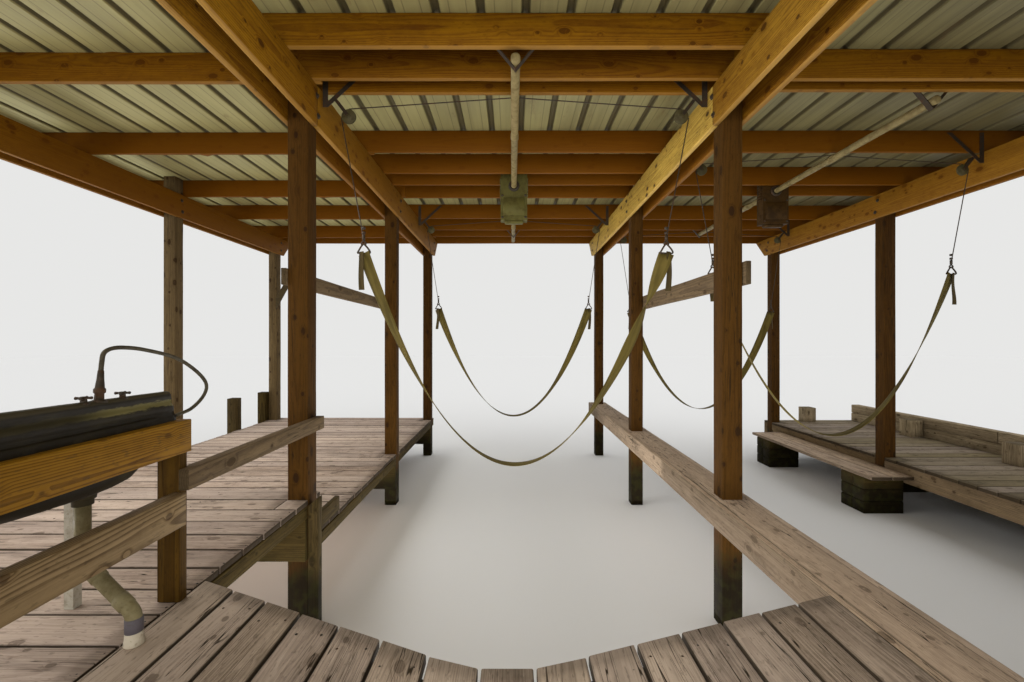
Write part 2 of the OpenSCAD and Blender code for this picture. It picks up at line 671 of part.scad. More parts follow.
// A side bracket is a V of angle bar on a joist's rear face, against the girder; a pulley fork hangs
// from its slanting leg
bracket_reach = 350;
bracket_z = 3700;
bracket_top = roof_z - hanger_drop / 2;
bracket_leg = 38;
bracket_slant = 43;
fork_lean = 38;
fork_len = 142;
module side_bracket(x, y, dir) translate([x, y, 0]) mirror([dir < 0 ? 1 : 0, 0, 0]) {
    rise = (bracket_top - bracket_z) / (bracket_reach - bracket_leg);
    translate([0, -plank_t / 2, 0]) rotate([90, 0, 0]) linear_extrude(bar_t) polygon([
        [0, bracket_z], [bracket_leg, bracket_z], [bracket_reach, bracket_top],
        [bracket_reach - bracket_slant, bracket_top],
        [bracket_leg, bracket_z + bracket_slant * rise], [bracket_leg, bracket_top], [0, bracket_top]]);
    translate([pulley_out, 0, pulley_z]) rotate([0, -fork_lean, 0]) difference() {
        block([-fork_w / 2, -plank_t / 2, -fork_w / 2], [fork_w / 2, plank_t / 2, fork_len]);
        block([-fork_w, -pulley_t / 2 - pulley_play, -fork_w],
            [fork_w, pulley_t / 2 + pulley_play, pulley_d / 2 + cable_d + cable_play]);
        translate([0, plank_t, 0]) rotate([90, 0, 0])
            cylinder(h = 2 * plank_t, d = axle_d + 2 * clearance, $fn = 24);
    }
}
module both_sides(x, half, y) for (dir = [1, -1]) side_bracket(x - dir * half, y, dir);
module hoist_hangers() color("dimgray") placed() {
    shaft_hanger(slip_hoist_x, front_hanger_y);
    shaft_hanger(slip_hoist_x, back_hanger_y);
    shaft_hanger(shore_hoist_x, shore_front_y);
    shaft_hanger(shore_hoist_x, back_hanger_y);
    for (y = [slip_near_y, slip_far_y]) both_sides(slip_hoist_x, slip_half, y);
    for (y = [shore_near_y, shore_far_y]) both_sides(shore_hoist_x, shore_half, y);
}
module pulley(x, y) translate([x, y, pulley_z]) rotate([90, 0, 0]) {
    translate([0, 0, -pulley_t / 2]) cylinder(h = pulley_t, d = pulley_d, $fn = 48);
    translate([0, 0, -plank_t / 2]) cylinder(h = plank_t, d = axle_d, $fn = 24);
}
module pulley_pair(x, half, y) for (dir = [-1, 1]) pulley(x + dir * (half - pulley_out), y);
module hoist_pulleys() color("dimgray") placed() {
    for (y = [slip_near_y, slip_far_y]) pulley_pair(slip_hoist_x, slip_half, y);
    for (y = [shore_near_y, shore_far_y]) pulley_pair(shore_hoist_x, shore_half, y);
}

// A taut cable runs from the shaft over a side pulley down to the hook of a sling
// The two cables of a pair start this far from the shaft's middle plane
cable_gap = 0.1;
hook_h = 110;
hook_w = 40;
module lifting_cable(half, top_z) {
    px = half - pulley_out;
    r = pulley_d / 2 + cable_d / 2 + clearance;
    start_z = shaft_z + shaft_r + cable_d / 2 + clearance;
    lean = atan((sling_out - pulley_out + r) / (pulley_z - top_z - hook_h));
    rod([0, 0, start_z], [px, 0, pulley_z + r], cable_d);
    rod([px + r * cos(lean), 0, pulley_z - r * sin(lean)], [half - sling_out, 0, top_z + hook_h], cable_d);
}
module cable_pair(x, half, y, top_z) translate([x, y, 0]) for (side = [0, 1]) mirror([side, 0, 0])
    translate([cable_gap, 0, 0]) lifting_cable(half - cable_gap, top_z);
module hoist_cables() color("dimgray") placed() {
    cable_pair(slip_hoist_x, slip_half, slip_near_y, near_sling_top);
    cable_pair(slip_hoist_x, slip_half, slip_far_y, far_sling_top);
    cable_pair(shore_hoist_x, shore_half, shore_near_y, near_sling_top);
    cable_pair(shore_hoist_x, shore_half, shore_far_y, far_sling_top);
}
module hook_pair(x, half, y, top_z) for (dir = [-1, 1])
    block([x + dir * (half - sling_out) - hook_w / 2, y - hook_w / 2, top_z],
        [x + dir * (half - sling_out) + hook_w / 2, y + hook_w / 2, top_z + hook_h]);
module sling_hooks() color("dimgray") placed() {
    hook_pair(slip_hoist_x, slip_half, slip_near_y, near_sling_top);
    hook_pair(slip_hoist_x, slip_half, slip_far_y, far_sling_top);
    hook_pair(shore_hoist_x, shore_half, shore_near_y, near_sling_top);
    hook_pair(shore_hoist_x, shore_half, shore_far_y, far_sling_top);
}

// A sling hangs between its two hooks in a curve close to a parabola
sling_steps = 16;
module sling(x, half, y, top_z, low_z) color("olive") placed() translate([x, y + sling_w / 2, 0])
    rotate([90, 0, 0]) linear_extrude(sling_w) polygon(concat(
        [for (i = [0 : sling_steps]) let (u = 2 * i / sling_steps - 1)
            [u * (half - sling_out + sling_t / 2), low_z + (top_z - low_z) * u * u]],
        [for (i = [sling_steps : -1 : 0]) let (u = 2 * i / sling_steps - 1)
            [u * (half - sling_out - sling_t / 2), low_z + sling_t + (top_z - low_z - sling_t) * u * u]]));
module slip_near_sling() sling(slip_hoist_x, slip_half, slip_near_y, near_sling_top, near_sling_low);
module slip_far_sling() sling(slip_hoist_x, slip_half, slip_far_y, far_sling_top, far_sling_low);
module shore_near_sling() sling(shore_hoist_x, shore_half, shore_near_y, near_sling_top, near_sling_low);
module shore_far_sling() sling(shore_hoist_x, shore_half, shore_far_y, far_sling_top, far_sling_low);

left_posts();
slip_left_posts();
slip_right_posts();
shore_posts();
left_girder();
slip_left_girder();
slip_right_girder();
shore_girder();
left_joists();
slip_joists();
shore_joists();
lake_fascia();
rear_fascia();
side_fascias();
left_roof_sheets();
slip_roof_sheets();
shore_roof_sheets();
rear_deck();
left_deck();
lower_deck();
shore_rear_deck();
shore_deck();
deck_beams();
rear_deck_joists();
left_deck_joists();
lower_deck_joists();
shore_rear_joists();
shore_deck_joists();
deck_step_board();
shore_deck_fascia();
walkway_plank();
walkway_beams();
walkway_blocks();
boarding_step();
step_crib();
shore_curb();
curb_stubs();
mooring_piles();
corner_pile();
left_tie_board();
right_tie_board();
knee_brace();
guard_post();
guard_boards();
hand_rail();
sink_bowl();
sink_legs();
sink_tap();
sink_drain();
hoist_shafts();
hoist_drives();
hoist_hangers();
hoist_pulleys();
hoist_cables();
sling_hooks();
slip_near_sling();
slip_far_sling();
shore_near_sling();
shore_far_sling();
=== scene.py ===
"""Looks of a timber boathouse: dressed timbers, deck boards, ribbed roof sheets, boat hoists and slings."""

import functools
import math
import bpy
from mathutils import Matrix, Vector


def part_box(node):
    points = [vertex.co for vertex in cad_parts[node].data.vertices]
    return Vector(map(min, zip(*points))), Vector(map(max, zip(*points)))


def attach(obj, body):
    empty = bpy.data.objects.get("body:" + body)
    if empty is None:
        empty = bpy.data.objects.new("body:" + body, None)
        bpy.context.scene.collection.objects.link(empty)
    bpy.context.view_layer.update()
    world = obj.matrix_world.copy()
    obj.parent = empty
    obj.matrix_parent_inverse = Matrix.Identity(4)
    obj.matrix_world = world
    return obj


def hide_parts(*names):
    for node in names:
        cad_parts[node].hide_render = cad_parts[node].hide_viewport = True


bl_info = {
    "name": "Boathouse looks",
    "version": (1, 0, 0),
    "blender": (4, 5, 0),
    "location": "View3D > Sidebar > Boathouse",
    "description": "Builds the timbers, deck boards, roof finish and hoist details of a boathouse around its frame",
    "category": "Object",
}

import bpy
import numpy as np
from bpy.props import FloatProperty, FloatVectorProperty, PointerProperty

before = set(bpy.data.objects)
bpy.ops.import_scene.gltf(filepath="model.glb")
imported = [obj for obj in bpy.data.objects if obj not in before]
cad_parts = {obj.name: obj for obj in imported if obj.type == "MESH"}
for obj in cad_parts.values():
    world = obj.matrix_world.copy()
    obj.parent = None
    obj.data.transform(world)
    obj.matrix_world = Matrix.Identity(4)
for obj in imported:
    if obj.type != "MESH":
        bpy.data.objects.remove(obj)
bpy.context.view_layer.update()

# Directions of a timber's length
ALONG_X, ALONG_Y, ALONG_Z = 0, 1, 2
# Where the part's middle lies in the CAD source's own coordinates, in metres
MIDDLE_X, MIDDLE_Y = 0.783, 4.8
# Two places nearer than this are taken as one, in metres
NEAR = 0.01
# First random seed of each kind of piece; each node of a kind adds its number
SEEDS = {"posts": 100, "girders": 200, "joists": 300, "framing": 400, "stacks": 450, "ties": 500, "guards": 520,
         "decks": 600, "rear_deck": 620, "deck_trim": 640, "slings": 700}


# Sizes and colours that a user would change

def colour(name, description, value):
    """A colour property with three linear parts."""
    return FloatVectorProperty(name=name, description=description, subtype="COLOR", size=3, min=0.0, max=1.0,
                               default=value)


def length(name, description, value, low, high):
    """A length property in metres, with its limits."""
    return FloatProperty(name=name, description=description, default=value, min=low, max=high, unit="LENGTH")


class TimberLooks(bpy.types.PropertyGroup):
    """Sawn timbers of the posts, girders, joists, guards and piles."""

    edge: length("Edge", "Radius of a sawn edge", 0.004, 0.0, 0.02)
    wane: length("Wane", "Largest extra radius where bark was left on an edge", 0.026, 0.0, 0.05)
    station: length("Station", "Distance between two cross sections of a timber", 0.06, 0.02, 1.0)
    frame_light: colour("Frame light", "Early wood of the girders and joists", (0.51, 0.245, 0.003))
    frame_dark: colour("Frame dark", "Late wood of the girders and joists", (0.15, 0.050, 0.001))
    # Painted highlight: the lower edges of the girders and joists are lighter, as if lit from below by the water
    underside: colour("Underside", "Cleaner lower edges of the girders and joists", (0.66, 0.42, 0.13))
    pale_light: colour("Pale light", "Early wood of the lighter girder planks", (0.70, 0.46, 0.085))
    pale_dark: colour("Pale dark", "Late wood of the lighter girder planks", (0.34, 0.20, 0.028))
    post_light: colour("Post light", "Early wood of the posts", (0.086, 0.037, 0.005))
    post_dark: colour("Post dark", "Late wood of the posts", (0.030, 0.010, 0.0005))
    bleached_light: colour("Bleached light", "Early wood of the posts that stand in the open", (0.175, 0.118, 0.045))
    bleached_dark: colour("Bleached dark", "Late wood of the posts that stand in the open", (0.072, 0.043, 0.013))
    pile_light: colour("Pile light", "Damp timber below the decks", (0.084, 0.055, 0.013))
    pile_dark: colour("Pile dark", "Grain of the damp timber", (0.026, 0.015, 0.003))
    worn_light: colour("Worn light", "Weathered timber of the curb, the hand rail and the ties", (0.195, 0.130, 0.060))
    worn_dark: colour("Worn dark", "Grain of the weathered timber", (0.070, 0.042, 0.018))
    curb_light: colour("Curb light", "Bleached timber of the curb", (0.49, 0.39, 0.24))
    curb_dark: colour("Curb dark", "Grain of the curb", (0.160, 0.116, 0.060))
    board_light: colour("Guard light", "Newer yellow boards of the guard", (0.29, 0.140, 0.008))
    board_dark: colour("Guard dark", "Grain of the newer boards", (0.095, 0.036, 0.002))
    aged_light: colour("Aged guard light", "Weathered lower board of the guard", (0.34, 0.235, 0.115))
    aged_dark: colour("Aged guard dark", "Grain of the weathered board", (0.125, 0.075, 0.030))
    rail_light: colour("Guard post light", "Early wood of the guard's post", (0.118, 0.060, 0.007))
    rail_dark: colour("Guard post dark", "Grain of the guard's post", (0.040, 0.017, 0.002))


class DeckLooks(bpy.types.PropertyGroup):
    """Weathered boards of the decks and the walkway."""

    board: length("Board", "Width of a deck board with its gap", 0.187, 0.08, 0.3)
    gap: length("Gap", "Gap between two deck boards", 0.011, 0.0, 0.02)
    edge: length("Edge", "Radius of a worn board's edge", 0.006, 0.0, 0.02)
    warp: length("Warp", "How far a board rises or sinks", 0.003, 0.0, 0.01)
    light: colour("Light", "Worn wood of the rear deck", (0.60, 0.47, 0.345))
    dark: colour("Dark", "Open grain and dirt of the rear deck", (0.200, 0.143, 0.092))
    bleached_light: colour("Bleached light", "Sun-bleached wood of the left decks", (0.74, 0.58, 0.46))
    bleached_dark: colour("Bleached dark", "Grain of the left decks", (0.34, 0.24, 0.175))
    shore_light: colour("Shore light", "Wood of the decks by the shore", (0.27, 0.215, 0.115))
    shore_dark: colour("Shore dark", "Grain of the decks by the shore", (0.085, 0.062, 0.030))
    walk_light: colour("Walkway light", "Wood of the walkway", (0.71, 0.53, 0.36))
    walk_dark: colour("Walkway dark", "Grain of the walkway", (0.32, 0.22, 0.140))
    nail: length("Nail", "Radius of a nail head", 0.005, 0.001, 0.01)


class RoofLooks(bpy.types.PropertyGroup):
    """Ribbed metal sheets."""

    # Painted light and shade: sheet is the lit colour at the open left side and shaded the painted shade towards the
    # shore
    sheet: colour("Sheet", "Pale face of the sheets", (0.46, 0.42, 0.18))
    shaded: colour("Shaded sheet", "Duller face of the sheets beside the shore", (0.150, 0.128, 0.056))
    # Painted shade with some dirt: rib is the colour inside the rib channels
    rib: colour("Rib", "Dull olive inside the ribs", (0.088, 0.071, 0.032))
    minor: length("Minor rib", "Distance of the two fine lines on each side of a rib", 0.085, 0.02, 0.12)


class HoistLooks(bpy.types.PropertyGroup):
    """Boat hoists, their slings and the wash sink."""

    paint: colour("Drive", "Paint of the slips' drive housing", (0.108, 0.095, 0.022))
    rusty: colour("Rusty drive", "Rusted paint of the shore bay's drive housing", (0.055, 0.026, 0.004))
    pipe: colour("Shaft", "Paint of the winding shafts", (0.25, 0.195, 0.082))
    steel: colour("Steel", "Dark weathered steel", (0.040, 0.030, 0.018))
    wheel: colour("Pulley", "Grey-green pulleys", (0.085, 0.072, 0.030))
    webbing: colour("Webbing", "Olive webbing of the slings", (0.145, 0.108, 0.026))
    tail: colour("Tail", "Worn brown ends of the webbing", (0.085, 0.062, 0.024))
    sink: colour("Sink", "Dull dark plastic of the wash sink", (0.016, 0.012, 0.006))
    # Painted highlight: a pale green reflection along the sink's upper roll
    sheen: colour("Sheen", "Pale green stain on the sink's upper roll", (0.17, 0.145, 0.050))
    drain: colour("Drain", "Yellowed plastic of the drain pipe", (0.24, 0.20, 0.100))


class Stage(bpy.types.PropertyGroup):
    """Floor, lights and camera."""

    floor: colour("Floor", "Pale floor", (0.80, 0.80, 0.79))
    camera: FloatVectorProperty(name="Camera", description="Place of the camera", size=3, unit="LENGTH",
                                default=(-0.805, -3.220, 2.0))
    lens: FloatProperty(name="Lens", description="Focal length in millimetres", default=16.0, min=8.0, max=100.0)
    level: FloatProperty(name="Light level", description="Strength of the world's light", default=1.0, min=0.0,
                         max=5.0)


# Meshes

class Cloth:
    """Gathers vertices, faces and three point attributes of one piece: grain is the place in the wood,
    tint holds random numbers, and form the place in the section from -1 to 1 and the distance from an end."""

    def __init__(self):
        self.points, self.faces, self.grain, self.tint, self.form = [], [], [], [], []
        self.count = 0

    def add(self, points, faces, grain=(0, 0, 0), tint=(0.5, 0.5, 0), form=(0, 0, 1)):
        """Adds one closed shell; faces is a list of integer arrays with 3 or 4 columns."""
        n = len(points)
        self.points.append(points)
        self.faces += [f + self.count for f in faces]
        self.grain.append(np.broadcast_to(grain, (n, 3)))
        self.tint.append(np.broadcast_to(tint, (n, 3)))
        self.form.append(np.broadcast_to(form, (n, 3)))
        self.count += n

    def piece(self, name, material, slot, replaces=()):
        """Makes the mesh object, gives it its material and lets it ride on the boathouse."""
        mesh = bpy.data.meshes.new(name)
        points = np.concatenate(self.points)
        faces = [row for f in self.faces for row in f.tolist()]
        mesh.from_pydata(points.tolist(), [], faces)
        for key, values in (("grain", self.grain), ("tint", self.tint), ("form", self.form)):
            data = np.concatenate(values).astype(np.float32)
            mesh.attributes.new(key, "FLOAT_VECTOR", "POINT").data.foreach_set("vector", data.ravel())
        mesh.polygons.foreach_set("use_smooth", np.full(len(faces), True))
        mesh.update()
        made = bpy.data.objects.new(name, mesh)
        bpy.context.scene.collection.objects.link(made)
        mesh.materials.append(material)
        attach(made, "root")
        if replaces:
            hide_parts(*replaces)
        return made


def ring_faces(rings, around):
    """Quads between neighbouring rings of one closed tube, wound so that they face outwards."""
    i, j = np.meshgrid(np.arange(rings - 1), np.arange(around), indexing="ij")
    a = i * around + j
    b = i * around + (j + 1) % around
    return np.stack([a, b, b + around, a + around], -1).reshape(-1, 4)


def fan_faces(first, around, centre, flip):
    """Triangles from a ring to its middle point."""
    j = np.arange(around)
    a, b = first + j, first + (j + 1) % around
    c = np.full(around, centre)
    return np.stack([b, a, c] if flip else [a, b, c], -1)


def closed_tube(rings):
    """Points and faces of a tube through rings (rings, around, 3), closed by a fan at each end."""
    count, around, _ = rings.shape
    ends = np.stack([rings[0].mean(0), rings[-1].mean(0)])
    points = np.concatenate([rings.reshape(-1, 3), ends])
    n = count * around
    return points, [ring_faces(count, around), fan_faces(0, around, n, True),
                    fan_faces(n - around, around, n + 1, False)]


def cad_solids(node):
    """Lowest and highest corners of each separate solid of a CAD node, found by spreading the lowest
    vertex number over every triangle until nothing changes."""
    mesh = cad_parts[node].data
    co = np.zeros(len(mesh.vertices) * 3, np.float32)
    mesh.vertices.foreach_get("co", co)
    mesh.calc_loop_triangles()
    tri = np.zeros(len(mesh.loop_triangles) * 3, np.int32)
    mesh.loop_triangles.foreach_get("vertices", tri)
    keys = np.round(co.reshape(-1, 3) * 1e4).astype(np.int64)
    unique, place = np.unique(keys, axis=0, return_inverse=True)
    tri = place.ravel()[tri].reshape(-1, 3)
    label = np.arange(len(unique))
    while True:
        low = label[tri].min(1)
        after = label.copy()
        np.minimum.at(after, tri.ravel(), np.repeat(low, 3))
        after = after[after]
        if (after == label).all():
            break
        label = after
    corners = unique / 1e4
    found = [(corners[label == k].min(0), corners[label == k].max(0)) for k in np.unique(label)]
    return sorted(found, key=lambda box: tuple(np.round(box[0], 3)))


def slow_noise(rng, u, step, amount):
    """Smooth random values along u: random numbers every step, joined by half cosines."""
    knots = rng.uniform(-1, 1, int(np.ptp(u) / step) + 3)
    place = (u - u.min()) / step
    i = np.floor(place).astype(int)
    t = place - i
    t = (1 - np.cos(np.pi * t)) / 2
    return amount * (knots[i] * (1 - t) + knots[i + 1] * t)


# Each corner of a section is three points on a quarter of a circle
CORNER_STEPS = np.radians([0.0, 45.0, 90.0])
CORNER_SIGNS = ((1, 1), (-1, 1), (-1, -1), (1, -1))


def section_rings(half_v, half_w, radius):
    """Rounded rectangles: at each corner the points stand radius round the corner's own middle, which lies
    radius inside both sides. half_v and half_w have one value a station, radius one a station and corner."""
    v, w = [], []
    for k, (sv, sw) in enumerate(CORNER_SIGNS):
        r = radius[:, k]
        angles = CORNER_STEPS + k * math.pi / 2
        v.append((sv * (half_v - r))[:, None] + r[:, None] * np.cos(angles))
        w.append((sw * (half_w - r))[:, None] + r[:, None] * np.sin(angles))
    return np.concatenate(v, 1), np.concatenate(w, 1)


def burl_lift(rng, u, v, w, half_v, half_w, count):
    """Rounded lumps on the corners of a timber: each lifts the section outwards by a bell curve in the
    distance along the timber and from its corner."""
    lift = np.zeros_like(v)
    for _ in range(count):
        sv, sw = CORNER_SIGNS[rng.integers(4)]
        near = np.exp(-((u[:, None] - rng.uniform(u.min(), u.max())) / rng.uniform(0.022, 0.045)) ** 2)
        reach = np.hypot(v - sv * half_v, w - sw * half_w)
        lift += rng.uniform(0.008, 0.016) * near * np.exp(-(reach / 0.05) ** 2)
    return lift


def edge_radii(rng, u, edge, wane, most):
    """Radius of the four edges at each station: edge, and up to wane more where two slow noises say that bark
    was left; none is larger than most."""
    radius = np.full((len(u), 4), edge)
    if wane > 0:
        for k in range(4):
            bark = slow_noise(rng, u, 0.45, 1.0) + slow_noise(rng, u, 0.13, 0.35)
            keep = max(0.0, rng.uniform(-1.2, 1.0))
            radius[:, k] += wane * keep * np.clip(bark - 0.35, 0, 1)
        radius += np.abs(slow_noise(rng, u, 0.05, 0.0012))[:, None]
    return np.minimum(radius, most)


def pith_place(rng, half_v, half_w, boxed):
    """Where the tree's heart lay in the section: near the middle of a boxed timber, else beyond a wide face."""
    far = rng.choice([-1, 1]) * rng.uniform(0.03, 0.11)
    if boxed:
        return rng.uniform(-0.02, 0.02, 2)
    if half_v < half_w:
        return np.array([far, rng.uniform(-0.6, 0.6) * half_w])
    return np.array([rng.uniform(-0.6, 0.6) * half_v, far])


def add_timber(cloth, low, high, along, rng, edge, wane=0.0, station=0.12, bow=0.0015, rake=0.0, slant=0.0,
               boxed=False, paleness=0.0, burls=0):
    """A sawn timber between two corners: rounded rectangles carried along its length, each moved a
    little off the straight line, with wider corners where wane was left. rake cuts the far lower
    end back by that share of the height, and slant does so across the other side."""
    low, high = np.asarray(low, float), np.asarray(high, float)
    middle = (low + high) / 2
    span = high[along] - low[along]
    v_axis, w_axis = [k for k in range(3) if k != along]
    count = max(3, int(span / station) + 1)
    u = np.concatenate([[0.0], np.linspace(edge, span - edge, count), [span]])
    half_v = (high[v_axis] - low[v_axis]) / 2
    half_w = (high[w_axis] - low[w_axis]) / 2
    radius = edge_radii(rng, u, edge, wane, 0.45 * min(half_v, half_w))
    inset = np.zeros(len(u))
    inset[[0, -1]] = edge * 0.8
    v, w = section_rings(half_v - inset, half_w - inset, radius)
    if burls:
        lift = burl_lift(rng, u, v, w, half_v, half_w, burls)
        v, w = v + lift * v / half_v, w + lift * w / half_w
    v += slow_noise(rng, u, 0.9, bow)[:, None]
    w += slow_noise(rng, u, 0.9, bow)[:, None]
    place = np.broadcast_to(u[:, None], v.shape).copy()
    if rake + slant > 0:
        # The stretch that is cut is pressed together evenly, from a little more than the cut's own length
        cut = rake * (half_w - w) + slant * (half_v - v)
        start = span - 2.6 * (rake * half_w + slant * half_v)
        place = np.where(place > start, start + (place - start) * (span - cut - start) / (span - start), place)
    rings = np.zeros((len(u), v.shape[1], 3))
    rings[..., along] = low[along] + place
    rings[..., v_axis] = middle[v_axis] + v
    rings[..., w_axis] = middle[w_axis] + w
    if along == ALONG_Y:
        rings = rings[:, ::-1]
    points, faces = closed_tube(rings)
    pith = pith_place(rng, half_v, half_w, boxed)
    run = points[:, along] - low[along]
    off_v, off_w = points[:, v_axis] - middle[v_axis], points[:, w_axis] - middle[w_axis]
    lean = rng.uniform(-0.022, 0.022, 2)
    grain = np.stack([run + rng.uniform(-40, 40), off_v - pith[0] + lean[0] * (run - span / 2),
                      off_w - pith[1] + lean[1] * (run - span / 2)], -1)
    form = np.stack([off_v / half_v, off_w / half_w, np.minimum(run, span - run)], -1)
    cloth.add(points, faces, grain, (rng.uniform(0, 1), rng.uniform(0, 1), paleness), form)


def turned(centre, axis, profile, around=20):
    """A turned form: profile is rows of place along the axis and radius."""
    profile = np.asarray(profile, float)
    axis = np.asarray(axis, float) / np.linalg.norm(axis)
    first = np.cross(axis, (0.0, 0.0, 1.0) if abs(axis[2]) < 0.9 else (1.0, 0.0, 0.0))
    first /= np.linalg.norm(first)
    second = np.cross(axis, first)
    angles = np.linspace(0, 2 * math.pi, around, endpoint=False)[:, None]
    spokes = np.cos(angles) * first + np.sin(angles) * second
    rings = np.asarray(centre, float) + profile[:, 0, None, None] * axis + profile[:, 1, None, None] * spokes
    return closed_tube(rings)


def mirrored(rows):
    """The profile of a turned form whose two ends are alike, from the rows of its far half, end first."""
    return [(-place, radius) for place, radius in rows] + list(rows)[::-1]


def piped(path, radius, flat, around=10):
    """A round section carried along a path that lies in the plane across flat."""
    path = np.asarray(path, float)
    step = np.gradient(path, axis=0)
    tangent = step / np.linalg.norm(step, axis=1, keepdims=True)
    side = np.cross(np.asarray(flat, float), tangent)
    side /= np.linalg.norm(side, axis=1, keepdims=True)
    up = np.cross(tangent, side)
    angles = np.linspace(0, 2 * math.pi, around, endpoint=False)[:, None]
    radius = np.broadcast_to(radius, len(path))[:, None, None]
    rings = path[:, None] + radius * (np.cos(angles) * side[:, None] + np.sin(angles) * up[:, None])
    return closed_tube(rings)


def smooth_path(points, count):
    """A curve through points: each coordinate is a cubic in the distance between them (Catmull-Rom)."""
    points = np.asarray(points, float)
    padded = np.concatenate([2 * points[:1] - points[1:2], points, 2 * points[-1:] - points[-2:-1]])
    place = np.linspace(0, len(points) - 1, count)
    i = np.minimum(place.astype(int), len(points) - 2)
    t = (place - i)[:, None]
    a, b, c, d = padded[i], padded[i + 1], padded[i + 2], padded[i + 3]
    return 0.5 * (2 * b + (c - a) * t + (2 * a - 5 * b + 4 * c - d) * t ** 2 + (3 * b - a - 3 * c + d) * t ** 3)


def rounded_block(low, high, radius):
    """A box with rounded upright edges, its ends a little smaller."""
    low, high = np.asarray(low, float), np.asarray(high, float)
    half = (high - low) / 2
    inset = np.array([radius * 0.6, 0.0, 0.0, radius * 0.6])
    v, w = section_rings(half[0] - inset, half[1] - inset, np.full((4, 4), radius))
    z = np.array([low[2], low[2] + radius * 0.6, high[2] - radius * 0.6, high[2]])
    rings = np.stack([low[0] + half[0] + v, low[1] + half[1] + w, np.broadcast_to(z[:, None], v.shape)], -1)
    return closed_tube(rings)


def longest(low, high):
    """The axis along which a solid is longest."""
    return int(np.argmax(np.asarray(high) - np.asarray(low)))


# Shader expressions

def feed(tree, socket, value):
    """Links a wire to a socket, or sets the socket to a number, a vector or a colour."""
    if isinstance(value, Wire):
        tree.links.new(value.socket, socket)
    elif socket.type == "RGBA":
        socket.default_value = (*value, 1.0)
    else:
        socket.default_value = value


class Wire:
    """A socket whose operators add Math nodes, so that a pattern can be written as an expression."""

    def __init__(self, tree, socket):
        self.tree, self.socket = tree, socket

    def math(self, operation, *others, clamp=False):
        """One Math node with this value first."""
        node = self.tree.nodes.new("ShaderNodeMath")
        node.operation = operation
        node.use_clamp = clamp
        for k, value in enumerate((self, *others)):
            feed(self.tree, node.inputs[k], value)
        return Wire(self.tree, node.outputs[0])

    def __add__(self, other):
        return self.math("ADD", other)

    def __radd__(self, other):
        return self.math("ADD", other)

    def __sub__(self, other):
        return self.math("SUBTRACT", other)

    def __rsub__(self, other):
        return self.math("MULTIPLY_ADD", -1.0, other)

    def __mul__(self, other):
        return self.math("MULTIPLY", other)

    def __rmul__(self, other):
        return self.math("MULTIPLY", other)

    def __truediv__(self, other):
        return self.math("DIVIDE", other)

    def __pow__(self, other):
        return self.math("POWER", other)

    def sine(self):
        """Sine of the value in radians."""
        return self.math("SINE")

    def clamped(self):
        """The value held between 0 and 1."""
        return self.math("ADD", 0.0, clamp=True)

    def step(self, start, end):
        """0 at start, 1 at end, smooth between them; start may be the larger one."""
        node = self.tree.nodes.new("ShaderNodeMapRange")
        node.interpolation_type = "SMOOTHSTEP"
        for key, value in (("From Min", min(start, end)), ("From Max", max(start, end)), ("Value", self)):
            feed(self.tree, node.inputs[key], value)
        made = Wire(self.tree, node.outputs[0])
        return made if start < end else 1.0 - made


class Pattern:
    """The means to write a pattern in a node tree."""

    def __init__(self, tree):
        self.tree = tree

    def node(self, kind, settings=None, **sockets):
        """A node of a kind, with its settings first and then its sockets, by name with _ for a space."""
        made = self.tree.nodes.new(kind)
        for key, value in (settings or {}).items():
            setattr(made, key, value)
        for key, value in sockets.items():
            feed(self.tree, made.inputs[key.replace("_", " ")], value)
        return made

    def attribute(self, name):
        """A point attribute as a vector."""
        return Wire(self.tree, self.node("ShaderNodeAttribute", {"attribute_name": name}).outputs["Vector"])

    def place(self):
        """Object coordinates."""
        return Wire(self.tree, self.node("ShaderNodeTexCoord").outputs["Object"])

    def parts(self, vector):
        """The three numbers of a vector."""
        node = self.node("ShaderNodeSeparateXYZ", Vector=vector)
        return tuple(Wire(self.tree, node.outputs[k]) for k in range(3))

    def stretched(self, vector, scale):
        """A vector times three numbers."""
        node = self.node("ShaderNodeVectorMath", {"operation": "MULTIPLY"})
        for k, value in enumerate((vector, scale)):
            feed(self.tree, node.inputs[k], value)
        return Wire(self.tree, node.outputs[0])

    def noise(self, vector, scale, detail=2.0, roughness=0.5):
        """Smooth noise from 0 to 1, mostly near a half; scale is a number, or three of them for the axes."""
        if isinstance(scale, tuple):
            vector, scale = self.stretched(vector, scale), 1.0
        node = self.node("ShaderNodeTexNoise", Vector=vector, Scale=scale, Detail=detail, Roughness=roughness)
        return Wire(self.tree, node.outputs["Fac"])

    def cells(self, vector, scale):
        """Distance to the nearest of scattered points, in cells; scale has three numbers for the axes."""
        node = self.node("ShaderNodeTexVoronoi", Vector=self.stretched(vector, scale), Scale=1.0)
        return Wire(self.tree, node.outputs["Distance"])

    def mix(self, amount, first, second):
        """A colour between two colours."""
        node = self.node("ShaderNodeMix", {"data_type": "RGBA"})
        for k, value in zip((0, 6, 7), (amount, first, second)):
            feed(self.tree, node.inputs[k], value)
        return Wire(self.tree, node.outputs[2])


class Finish(Pattern):
    """A material with one shader."""

    def __init__(self, name):
        self.material = bpy.data.materials.new(name)
        self.material.use_nodes = True
        super().__init__(self.material.node_tree)
        self.tree.nodes.clear()
        output = self.tree.nodes.new("ShaderNodeOutputMaterial")
        self.shader = self.tree.nodes.new("ShaderNodeBsdfPrincipled")
        self.tree.links.new(self.shader.outputs[0], output.inputs["Surface"])

    def finish(self, colour, roughness, metallic=0.0, height=None, bump=0.3, bump_size=0.002, gloss=0.4):
        """Feeds the shader's sockets and returns the material."""
        for key, value in (("Base Color", colour), ("Roughness", roughness), ("Metallic", metallic),
                           ("Specular IOR Level", gloss)):
            feed(self.tree, self.shader.inputs[key], value)
        if height is not None:
            node = self.node("ShaderNodeBump", Height=height, Strength=bump, Distance=bump_size)
            self.tree.links.new(node.outputs[0], self.shader.inputs["Normal"])
        return self.material


# Woods

